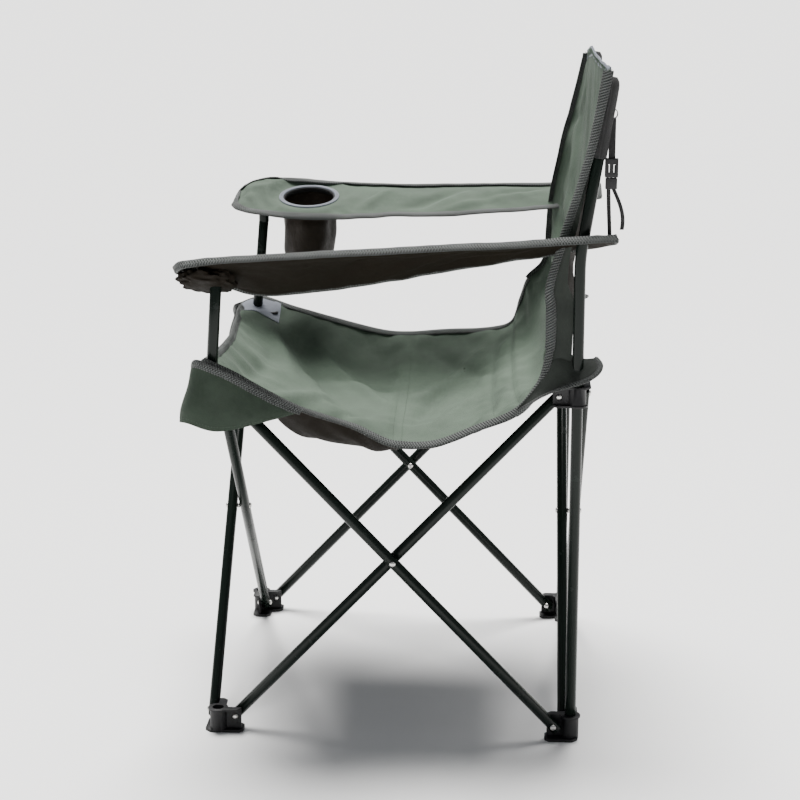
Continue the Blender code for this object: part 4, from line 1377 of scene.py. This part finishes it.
def build_rear_tabs():
    """The seat's rear corners reach round the back posts, with a gusset up to the back; both take a darker copy of
    the canvas, painted shade.
    """
    for name, side in SIDES.items():
        outer = spline([(side * x, y, z) for x, y, z in TAB_OUTER], 7)
        inner = spline([(side * x, y, z) for x, y, z in TAB_INNER[name]], 7)
        tab = crumple(between(inner, outer, 12, -0.006, (0, 0, 1)), 0.005, (32, 26, 26), 3.0 + side)
        sheet = cloth(f"rear_tab_{name}_cloth", tab, ["shaded_canvas", "lining"], up=side)
        if grid_normals(tab)[10, 6][2] * side < 0:
            raise ValueError("the rear tab's grid faces down")
        path = [row[-1].copy() for row in tab]
        inward = [row[-4].copy() for row in tab]
        trims = bound_edge(f"rear_tab_{name}_tape", path, inward, 0.009, 0.0034)
        settle([sheet, *trims], f"back_{name}_slider")
        near = spline([(side * x, y, z) for x, y, z, _, _ in RETURNS[name]], 7)
        far = spline([(side * (x + 0.004), y, z) for x, _, _, y, z in RETURNS[name]], 7)
        web = crumple(between(near, far, 8), 0.004, (40, 40, 30), 5.0)
        gusset = cloth(f"gusset_{name}_cloth", web, ["shaded_canvas", "shaded_canvas"])
        settle([gusset], f"back_{name}_half", {
            "joint": f"back_{name}_pleat",
            "axis": (0, 1, 0),
            "anchor": (side * CORNER, CORNER, 0.6),
            "keep": 0.5,
        })


# ---------------------------------------------------------------- arms

# Stations from the front end to the rear end: y, outer edge (x, z), inner edge (x, z)
ARM_STATIONS = {
    "left": (
        (-0.298, (0.290, 0.690), (0.240, 0.683)), (-0.284, (0.314, 0.702), (0.216, 0.673)),
        (-0.240, (0.323, 0.710), (0.205, 0.655)), (-0.176, (0.324, 0.714), (0.202, 0.643)),
        (-0.080, (0.321, 0.720), (0.207, 0.656)), (0.036, (0.315, 0.7265), (0.214, 0.677)),
        (0.150, (0.309, 0.732), (0.221, 0.698)), (0.250, (0.302, 0.738), (0.228, 0.715)),
        (0.306, (0.292, 0.740), (0.238, 0.728)),
    ),
    "right": (
        (-0.290, (0.296, 0.718), (0.236, 0.708)), (-0.277, (0.314, 0.730), (0.214, 0.704)),
        (-0.243, (0.322, 0.740), (0.204, 0.699)), (-0.200, (0.323, 0.738), (0.202, 0.694)),
        (-0.130, (0.322, 0.734), (0.202, 0.693)), (-0.050, (0.319, 0.731), (0.207, 0.695)),
        (0.050, (0.314, 0.732), (0.214, 0.696)), (0.150, (0.309, 0.735), (0.221, 0.703)),
        (0.250, (0.302, 0.738), (0.228, 0.713)), (0.306, (0.292, 0.740), (0.238, 0.724)),
    ),
}
ARM_COLUMNS = 30
CUP_MOUTH = middle_of("cup_ring") + Vector((0, 0.003, 0.003))
CUP_R = size_of("cup_ring").y / 2
CUP_TILT = math.radians(13.4)
ARM_PITCH = 0.0045
ARM_CREASES = (
    # from (across, y) to (across, y), reach, depth: across is 0 at the inner edge and 1 at the outer
    ((0.15, -0.09), (0.80, -0.02), 0.009, 0.0040),
    ((0.20, 0.00), (0.85, 0.10), 0.008, -0.0036),
    ((0.10, 0.04), (0.55, 0.16), 0.008, 0.0034),
    ((0.35, 0.10), (0.80, 0.22), 0.007, -0.0030),
    ((0.15, -0.03), (0.60, 0.05), 0.007, -0.0032),
    ((0.05, -0.24), (0.45, -0.27), 0.008, 0.0036),
)


def arm_grid(name):
    side = SIDES[name]
    stations = ARM_STATIONS[name]
    outer = spline([(side * o[0], y, o[1]) for y, o, _ in stations], 12)
    inner = spline([(side * i[0], y, i[1]) for y, _, i in stations], 12)
    pairs = sorted(zip(outer, inner), key=lambda pair: pair[0].y)
    count = round((stations[-1][0] - stations[0][0]) / ARM_PITCH)
    grid = []
    for i in range(count + 1):
        y = stations[0][0] + (stations[-1][0] - stations[0][0]) * i / count
        index = max(k for k in range(len(pairs)) if pairs[k][0].y <= y + 1e-6)
        after = min(index + 1, len(pairs) - 1)
        gap = pairs[after][0].y - pairs[index][0].y
        t = (y - pairs[index][0].y) / gap if gap > 1e-9 else 0.0
        out_point = pairs[index][0].lerp(pairs[after][0], t)
        in_point = pairs[index][1].lerp(pairs[after][1], t)
        row = []
        ends = smoothstep(min(y - stations[0][0], stations[-1][0] - y), 0.0, 0.03)
        for k in range(ARM_COLUMNS + 1):
            u = k / ARM_COLUMNS
            point = in_point.lerp(out_point, u)
            point.z += 0.009 * math.sin(math.pi * u**1.35) * ends
            spot = Vector((u * 0.11, y, 0))
            folds = sum(
                crease(spot, Vector((s[0] * 0.11, s[1], 0)), Vector((e[0] * 0.11, e[1], 0)), r, d)
                for s, e, r, d in ARM_CREASES
            )
            wave = noise.noise(Vector((u * 1.6, y * 16 + side * 4.0, 0.3))) * 0.0052
            small = noise.noise(Vector((u * 4.5, y * 45, side * 2.0))) * 0.0022
            sag = 0.0022 * noise.noise(Vector((y * 22.0, side * 3.0, 1.7))) * (1 - u) ** 2
            crown = (0.25 + math.sin(math.pi * u)) / 1.25
            point.z += (folds * 1.5 + wave + small) * crown * ends + sag * ends
            if side < 0:
                away = math.hypot(point.x - CUP_MOUTH.x, point.y - CUP_MOUTH.y)
                flat = (1 - smoothstep(away, CUP_R * 1.05, CUP_R * 1.45)) * (1 - smoothstep(u, 0.95, 1.0))
                plane = CUP_MOUTH.z - (point.x - CUP_MOUTH.x) * math.tan(CUP_TILT)
                point.z += (plane - point.z) * flat
            row.append(point)
        grid.append(row)
    return grid


def near_the_cup(point):
    return math.hypot(point.x - CUP_MOUTH.x, point.y - CUP_MOUTH.y) < CUP_R * 1.2


def round_the_end(grid, rows, first):
    """The path of the tape round one end of an arm, and points just inside it."""
    last = len(grid[0]) - 1
    path, inward = [], []
    low, high = rows
    order = range(high, low - 1, -1) if first else range(low, high + 1)
    end = low if first else high
    step = 3 if first else -3
    for i in order:
        path.append(grid[i][last].copy())
        inward.append(grid[i][last - 4].copy())
    for k in range(last - 2, 1, -1):
        path.append(grid[end][k].copy())
        inward.append(grid[end + step][k].copy())
    for i in reversed(order):
        path.append(grid[i][0].copy())
        inward.append(grid[i][4].copy())
    return path, inward


def build_arms():
    cup, cup_r = CUP_MOUTH, CUP_R - 0.004
    for name, side in SIDES.items():
        grid = arm_grid(name)
        grid = wrinkled(grid, 0.022, frames=14, most=0.006, pinned=near_the_cup if side < 0 else None)
        split = min(range(len(grid)), key=lambda i: abs(grid[i][0].y - ARM_SPLIT_Y))
        keep = None
        if side < 0:
            for row in grid:
                for point in row:
                    away = Vector((point.x - cup.x, point.y - cup.y))
                    if abs(away.length - cup_r) < ARM_PITCH * 0.55:
                        away = away.normalized() * cup_r
                        point.x, point.y = cup.x + away.x, cup.y + away.y

            def keep(i, k, grid=grid):
                centre = (grid[i][k] + grid[i + 1][k + 1]) / 2
                return math.hypot(centre.x - cup.x, centre.y - cup.y) > cup_r

        ends = {"front": ((0, split), keep), "rear": ((split, len(grid) - 1), None)}
        for end, (rows, held) in ends.items():
            sheet = cloth(f"arm_{name}_{end}_cloth", grid, ["canvas", "lining"], 0.0014, rows, up=side, keep=held)
            path, inward = round_the_end(grid, rows, end == "front")
            trims = bound_edge(
                f"arm_{name}_{end}_tape", path, inward, sizes().binding, sizes().tape,
                turn=math.radians(74 if side > 0 else 20),
            )
            for piece in (sheet, *trims):
                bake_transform(piece)
            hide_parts(f"arm_{name}_{end}")
        build_post_cap(name, side)


def build_post_cap(name, side):
    """The bunched end of the arm's cloth, with the black plug that joins the arm post to it."""
    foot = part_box(f"arm_post_{name}")[1].z - 0.006
    roof = 0.683 if side > 0 else 0.708
    top = Vector((side * abs(ARM_TOP.x), ARM_TOP.y, 0))
    if side > 0:
        middle, half = Vector((0.268, -0.257, 0.6735)), Vector((0.038, 0.039, 0.0108))
    else:
        middle, half = Vector((-0.268, -0.250, 0.7035)), Vector((0.028, 0.022, 0.0060))
    shape = bmesh.new()
    bmesh.ops.create_uvsphere(shape, u_segments=72, v_segments=36, radius=1.0)
    for vert in shape.verts:
        out = vert.co.normalized()
        folds = math.sin(math.atan2(out.y, out.x) * 11 + out.z * 3.5 + noise.noise(out * 2.2) * 4.0)
        rough = noise.noise(out * 3.0 + Vector((7.0 * side, 0, 0)))
        bulk = 1 + 0.07 * folds * (1 - out.z**2) + 0.17 * rough
        square = Vector(math.copysign(abs(v) ** 0.75, v) for v in out)
        place = Vector(middle[i] + square[i] * half[i] * bulk for i in range(3))
        place.z += (place.x - middle.x) * (0.46 if side > 0 else -0.32)
        vert.co = place
    mesh = mesh_of(f"arm_end_{name}", shape, 80)
    layer = mesh.uv_layers.new(name="cloth")
    for loop in mesh.loops:
        co = mesh.vertices[loop.vertex_index].co
        layer.data[loop.index].uv = (co.x, co.y + co.z)
    bunch = new_piece(f"arm_end_{name}", mesh, ["lining"])
    heights = [foot + (roof - foot) * k / 6 for k in range(7)]
    angles = [math.tau * k / 28 for k in range(28)]
    outline = [(math.cos(a) * 0.0084, math.sin(a) * 0.0084) for a in angles]
    plug = sweep(f"arm_plug_{name}", [Vector((top.x, top.y, z)) for z in heights], [Vector((1, 0, 0))] * 7,
                 [Vector((0, 1, 0))] * 7, outline, ["enamel"])
    settle([bunch, plug], f"front_{name}_hub")


# ---------------------------------------------------------------- cup holder


def give_wall(piece, thickness, inside=0):
    """Turns an open skin into a closed cloth of this thickness, added on its inner side.
    The inner side's look is that many places after the outer one's."""
    skin = piece.modifiers.new("thickness", "SOLIDIFY")
    skin.thickness = thickness
    skin.offset = -1.0
    skin.material_offset = inside
    graph = bpy.context.evaluated_depsgraph_get()
    mesh = bpy.data.meshes.new_from_object(piece.evaluated_get(graph))
    piece.modifiers.clear()
    piece.data = mesh
    mesh.shade_smooth()


def build_cup_holder():
    centre, radius = CUP_MOUTH, CUP_R
    tilt = Matrix.Rotation(CUP_TILT, 4, "Y")
    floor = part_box("cup_pocket")[0].z
    count = 96
    path = [centre + tilt @ Vector((math.cos(a) * (radius - 0.0025), math.sin(a) * (radius - 0.0025), 0.001))
            for a in (math.tau * k / count for k in range(count))]
    up = [tilt @ Vector((0, 0, 1))] * count
    across = [(p - centre).normalized() for p in path]
    ring = sweep("cup_ring_tape", path, across, up, rounded(0.0072, 0.0044, 0.0), ["patch"], closed=True)
    inside = [p - a * 0.0046 - u * 0.0035 for p, a, u in zip(path, across, up)]
    lip = sweep("cup_ring_lip", inside, across, up, rounded(0.0032, 0.0075, 0.0), ["webbing"], closed=True)
    spots = []
    marks = round(math.tau * radius / 0.0034)
    for k in range(marks):
        angle = math.tau * k / marks
        out = tilt @ Vector((math.cos(angle), math.sin(angle), 0))
        ahead = tilt @ Vector((-math.sin(angle), math.cos(angle), 0))
        spot = centre + out * (radius - 0.0025) + up[0] * 0.0031
        spots.append((spot, (out + ahead * 0.5).normalized(), up[0]))
    sewn = stitches("cup_ring_stitches", spots, 0.0056, 0.0009, "thread")
    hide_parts("cup_ring")
    wall = radius - 0.0035
    depth = centre.z - floor
    profile = [(wall, -0.0055), (wall, -depth * 0.30), (wall * 0.985, -depth * 0.62), (wall * 0.975, -depth * 0.85),
               (wall * 0.90, -depth * 0.93), (wall * 0.80, -depth + 0.0012),
               (wall * 0.45, -depth + 0.0005), (0.0015, -depth)]
    shape = bmesh.new()
    sides = 72
    outer = spline([(r, 0, z) for r, z in profile], 6)
    rings = []
    for point in outer:
        ring_points = []
        for k in range(sides):
            angle = math.tau * k / sides
            direction = Vector((math.cos(angle), math.sin(angle), 0))
            shaded_flap_colour = smoothstep(-point.z, 0.008, 0.03)
            bend = noise.noise(Vector((math.cos(angle) * 1.4, math.sin(angle) * 1.4, point.z * 26)))
            fold = math.sin(angle * 7 + math.sin(point.z * 55) * 1.2) * 0.35
            reach = point.x * (1 - 0.09 * shaded_flap_colour * (0.5 + bend + fold * 0.6) * (1 if point.x > wall * 0.5 else 0.2))
            place = direction * reach
            place.z = point.z
            if point.z > -0.010:
                place = tilt @ place
            elif point.z > -0.045:
                share = smoothstep(-point.z, 0.010, 0.045)
                place = (tilt @ place).lerp(place, share)
            ring_points.append(shape.verts.new(centre + place))
        rings.append(ring_points)
    for a, b in zip(rings, rings[1:]):
        for k in range(sides):
            n = (k + 1) % sides
            shape.faces.new((a[k], a[n], b[n], b[k]))
    shape.faces.new(rings[-1])
    mesh = bpy.data.meshes.new("cup_pocket_cloth")
    bmesh.ops.recalc_face_normals(shape, faces=shape.faces)
    shape.to_mesh(mesh)
    shape.free()
    layer = mesh.uv_layers.new(name="cloth")
    for loop in mesh.loops:
        co = mesh.vertices[loop.vertex_index].co
        layer.data[loop.index].uv = (math.atan2(co.y - centre.y, co.x - centre.x) * radius, co.z)
    # The inner wall takes the lighter copy of the pocket cloth: painted light.
    pocket = new_piece("cup_pocket_cloth", mesh, ["pocket", "lit_pocket_inside"])
    give_wall(pocket, 0.0012, 1)
    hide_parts("cup_pocket")
    for piece, look in ((ring, "binding"), (lip, "webbing"), (sewn, "binding"), (pocket, "lining")):
        settle([piece], "right_arm_front")


# ---------------------------------------------------------------- back details


def build_post_pockets():
    """A black ribbed sleeve takes each back post's top, sewn to the back's edge, with a small loop."""
    for name, side in SIDES.items():
        heights = [0.846 + (0.955 - 0.846) * k / 22 for k in range(23)]
        path = [Vector((side * CORNER, post_y(z) + 0.0010, z)) for z in heights]
        across = [Vector((side, 0, 0))] * len(path)
        up = [Vector((0, math.cos(BEND_ANGLE), -math.sin(BEND_ANGLE)))] * len(path)
        angles = [math.tau * k / 28 for k in range(28)]
        outline = [(math.cos(a) * 0.0118, math.sin(a) * 0.0098) for a in angles]
        scales = []
        for z in heights:
            pinch = math.sqrt(max(0.0, 1 - max(0.0, (z - 0.940) / 0.0155) ** 2)) * 0.72 + 0.28
            bulge = 1 + 0.03 * noise.noise(Vector((z * 60, side, 0)))
            scales.append(pinch * bulge)
        sleeve = sweep(f"post_pocket_{name}", path, across, up, outline, ["webbing"])
        size = len(outline)
        for k, scale in enumerate(scales):
            for n in range(size):
                vert = sleeve.data.vertices[k * size + n]
                vert.co = path[k] + (vert.co - path[k]) * scale
        shape = bmesh.new()
        shape.from_mesh(sleeve.data)
        floor = [face for face in shape.faces if len(face.verts) > 4 and face.calc_center_median().z < 0.86]
        bmesh.ops.delete(shape, geom=floor, context="FACES")
        shape.to_mesh(sleeve.data)
        shape.free()
        sleeve.data.update()
        give_wall(sleeve, 0.0009)
        loop_path = []
        for k in range(17):
            angle = math.pi * k / 16
            loop_path.append(Vector((
                side * CORNER,
                post_y(0.91) + 0.0095 + math.sin(angle) * 0.0045,
                0.906 + math.cos(angle) * 0.006,
            )))
        loop = sweep(f"post_loop_{name}", loop_path, [Vector((side, 0, 0))] * 17,
                     [Vector((0, math.sin(math.pi * k / 16), math.cos(math.pi * k / 16))) for k in range(17)],
                     rounded(0.010, 0.0014), ["webbing"])
        settle([sleeve, loop], BODY_OF[f"post_back_{name}"])


def eased_box(low, high, radius, segments=3):
    """A box with rounded edges, as bmesh geometry."""
    shape = bmesh.new()
    bmesh.ops.create_cube(shape, size=1.0)
    span = Vector(high) - Vector(low)
    for vert in shape.verts:
        vert.co = Vector(low) + Vector((vert.co[i] + 0.5) * span[i] for i in range(3))
    bmesh.ops.bevel(shape, geom=shape.edges[:], offset=radius, segments=segments, affect="EDGES", profile=0.6)
    return shape


def build_buckle():
    """The webbing loop, the two halves of a side-release buckle and the two tails."""
    top_low, top_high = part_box("strap_loop")
    low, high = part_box("buckle_socket")
    clip_low, clip_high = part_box("buckle_clip")
    centre = (low + high) / 2
    strap = [Vector((centre.x, centre.y, z)) for z in (top_high.z, top_low.z + 0.02, top_low.z - 0.001)]
    strap = evenly(spline(strap, 6), 0.004)
    loop = sweep("strap_loop_webbing", strap, [Vector((0, 1, 0))] * len(strap), [Vector((1, 0, 0))] * len(strap),
                 rounded(0.0095, 0.0015, 0.0, 12), ["webbing"])
    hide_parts("strap_loop")
    shape = eased_box(low, high, 0.0016)
    holes = (
        ((low.x - 0.01, low.y + 0.0035, low.z + 0.006), (high.x + 0.01, centre.y - 0.0025, high.z - 0.008), 0.001),
        ((low.x - 0.01, centre.y + 0.0025, low.z + 0.006), (high.x + 0.01, high.y - 0.0035, high.z - 0.008), 0.001),
        ((low.x + 0.0018, low.y + 0.002, low.z - 0.01), (high.x - 0.0018, high.y - 0.002, high.z - 0.007), 0.0005),
    )
    body = new_piece("buckle_socket_body", mesh_of("buckle_socket_body", shape), ["plastic"])
    cutters = [new_piece("cutter", mesh_of("cutter", eased_box(*hole)), ["plastic"]) for hole in holes]
    for cutter in cutters:
        step = body.modifiers.new("cut", "BOOLEAN")
        step.operation = "DIFFERENCE"
        step.object = cutter
    graph = bpy.context.evaluated_depsgraph_get()
    cut = bpy.data.meshes.new_from_object(body.evaluated_get(graph))
    body.modifiers.clear()
    body.data = cut
    cut.shade_smooth()
    cut.set_sharp_from_angle(angle=math.radians(40))
    for cutter in cutters:
        bpy.data.objects.remove(cutter, do_unlink=True)
    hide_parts("buckle_socket")
    clip = bmesh.new()
    parts = [eased_box((clip_low.x, clip_low.y, clip_low.z), (clip_high.x, clip_high.y, low.z - 0.0008), 0.0014)]
    tongue_x = (low.x + 0.0024, high.x - 0.0024)
    for y0, y1, reach in ((low.y + 0.0026, low.y + 0.0054, 0.009), (high.y - 0.0054, high.y - 0.0026, 0.009),
                          (centre.y - 0.0016, centre.y + 0.0016, 0.012)):
        parts.append(eased_box((tongue_x[0], y0, low.z - 0.004), (tongue_x[1], y1, high.z - reach), 0.0008))
    for part in parts:
        mesh = bpy.data.meshes.new("part")
        part.to_mesh(mesh)
        part.free()
        clip.from_mesh(mesh)
        bpy.data.meshes.remove(mesh)
    clip_piece = new_piece("buckle_clip_body", mesh_of("buckle_clip_body", clip), ["plastic"])
    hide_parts("buckle_clip")
    settle([loop, body], "buckle_strap")
    settle([clip_piece], "buckle_clip_half")
    for end, way in (("front", -1), ("rear", 1)):
        path = tail_path(way, centre, clip_low.z - 0.0003)
        strip = sweep(f"strap_tail_{end}_webbing", path, [Vector((0, 1, 0))] * len(path),
                      [Vector((1, 0, 0))] * len(path), rounded(0.0056, 0.0012, 0.0, 8), ["webbing"])
        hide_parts(f"strap_tail_{end}")
        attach(strip, "buckle_clip_half")


def tail_path(way, centre, low):
    path = []
    for i in range(19):
        t = i / 18
        swing = 0.0035 + 0.0135 * math.sin(math.pi * 0.62 * t) if way > 0 else 0.0035 - 0.003 * t
        path.append(Vector((
            centre.x + way * 0.003 * math.sin(math.pi * 1.4 * t),
            centre.y + way * swing,
            low - (0.056 if way > 0 else 0.064) * t,
        )))
    return path


# ---------------------------------------------------------------- stage


def build_stage():
    mesh = bpy.data.meshes.new("floor")
    reach = 30.0
    corners = [(-reach, -reach, 0), (reach, -reach, 0), (reach, reach, 0), (-reach, reach, 0)]
    mesh.from_pydata(corners, [], [(0, 1, 2, 3)])
    look = Look("floor", 0.9)
    look.paint(colour=(0.86, 0.86, 0.86))
    mesh.materials.append(look.material)
    floor = bpy.data.objects.new("floor", mesh)
    bpy.context.scene.collection.objects.link(floor)
    world = bpy.data.worlds.new("studio")
    world.use_nodes = True
    world.node_tree.nodes["Background"].inputs["Color"].default_value = (0.93, 0.96, 1.0, 1.0)
    world.node_tree.nodes["Background"].inputs["Strength"].default_value = 0.26
    bpy.context.scene.world = world
    lamps = (
        # name, place, aim, kind, spread or size, strength, colour
        ("sky", (-0.9, -0.2, 3.2), (0.0, 0.0, 0.5), "SUN", math.radians(32), 9.4, (1.0, 0.99, 0.97)),
        ("overhead", (-0.6, 0.2, 2.8), (0.0, 0.0, 0.6), "AREA", 1.6, 26.0, (1.0, 0.99, 0.97)),
        ("side", (2.6, -1.6, 1.6), (0.0, 0.0, 0.5), "AREA", 1.2, 1.0, (0.96, 0.98, 1.0)),
    )
    for name, place, aim, kind, size, power, tint in lamps:
        data = bpy.data.lights.new(name, kind)
        data.energy = power
        data.color = tint
        if kind == "SUN":
            data.angle = size
        else:
            data.size = size
        lamp = bpy.data.objects.new(name, data)
        lamp.location = place
        lamp.rotation_euler = (Vector(aim) - Vector(place)).to_track_quat("-Z", "Y").to_euler()
        bpy.context.scene.collection.objects.link(lamp)
    data = bpy.data.cameras.new("camera")
    data.lens = 87.7
    data.sensor_width = 36.0
    camera = bpy.data.objects.new("camera", data)
    camera.location = (2.914, 0.156, 1.162)
    yaw, pitch = -0.055, 0.2424
    ahead = Vector((-math.cos(yaw) * math.cos(pitch), math.sin(yaw) * math.cos(pitch), -math.sin(pitch)))
    camera.rotation_euler = ahead.to_track_quat("-Z", "Y").to_euler()
    bpy.context.scene.collection.objects.link(camera)
    bpy.context.scene.camera = camera


class CHAIR_OT_stage(bpy.types.Operator):
    """Make the floor, the lights, the camera and the finishes"""

    bl_idname = "chair.stage"
    bl_label = "Stage"

    def execute(self, context):
        build_stage()
        make_looks()
        return {"FINISHED"}


class CHAIR_OT_frame(bpy.types.Operator):
    """Make the tubes, the corner mouldings and the rivets"""

    bl_idname = "chair.frame"
    bl_label = "Frame"

    def execute(self, context):
        build_tubes()
        build_mouldings()
        build_rivets()
        return {"FINISHED"}


class CHAIR_OT_sling(bpy.types.Operator):
    """Make the seat and the back from one sling of cloth"""

    bl_idname = "chair.sling"
    bl_label = "Sling"

    def execute(self, context):
        build_sling()
        return {"FINISHED"}


class CHAIR_OT_corners(bpy.types.Operator):
    """Make the seat's front flaps and patches, and its rear tabs and gussets"""

    bl_idname = "chair.corners"
    bl_label = "Seat corners"

    def execute(self, context):
        build_corners()
        build_rear_tabs()
        return {"FINISHED"}


class CHAIR_OT_arms(bpy.types.Operator):
    """Make the cloth arms, with the bunched cloth and plugs at their front ends"""

    bl_idname = "chair.arms"
    bl_label = "Arms"

    def execute(self, context):
        build_arms()
        return {"FINISHED"}


class CHAIR_OT_cup_holder(bpy.types.Operator):
    """Make the cup holder's bound ring and its hanging pocket"""

    bl_idname = "chair.cup_holder"
    bl_label = "Cup holder"

    def execute(self, context):
        build_cup_holder()
        return {"FINISHED"}


class CHAIR_OT_back_details(bpy.types.Operator):
    """Make the sleeves on the back posts, and the strap with its buckle"""

    bl_idname = "chair.back_details"
    bl_label = "Back details"

    def execute(self, context):
        build_post_pockets()
        build_buckle()
        return {"FINISHED"}


class CHAIR_PT_panel(bpy.types.Panel):
    """The chair's sizes, colours and pieces"""

    bl_idname = "CHAIR_PT_panel"
    bl_label = "Camp chair"
    bl_space_type = "VIEW_3D"
    bl_region_type = "UI"
    bl_category = "Camp chair"

    def draw(self, context):
        for group in (context.scene.chair_sizes, context.scene.chair_colours):
            for name in group.__annotations__:
                self.layout.prop(group, name)
        for operator in OPERATORS:
            self.layout.operator(operator.bl_idname)


OPERATORS = (
    CHAIR_OT_stage,
    CHAIR_OT_frame,
    CHAIR_OT_sling,
    CHAIR_OT_corners,
    CHAIR_OT_arms,
    CHAIR_OT_cup_holder,
    CHAIR_OT_back_details,
)
CLASSES = (ChairSizes, ChairColours, *OPERATORS, CHAIR_PT_panel)


def register():
    for made in CLASSES:
        bpy.utils.register_class(made)
    bpy.types.Scene.chair_sizes = PointerProperty(type=ChairSizes)
    bpy.types.Scene.chair_colours = PointerProperty(type=ChairColours)


def unregister():
    del bpy.types.Scene.chair_sizes
    del bpy.types.Scene.chair_colours
    for made in reversed(CLASSES):
        bpy.utils.unregister_class(made)


def main():
    register()
    bpy.ops.chair.stage()
    bpy.ops.chair.frame()
    bpy.ops.chair.sling()
    bpy.ops.chair.corners()
    bpy.ops.chair.arms()
    bpy.ops.chair.cup_holder()
    bpy.ops.chair.back_details()


if __name__ == "__main__":
    main()
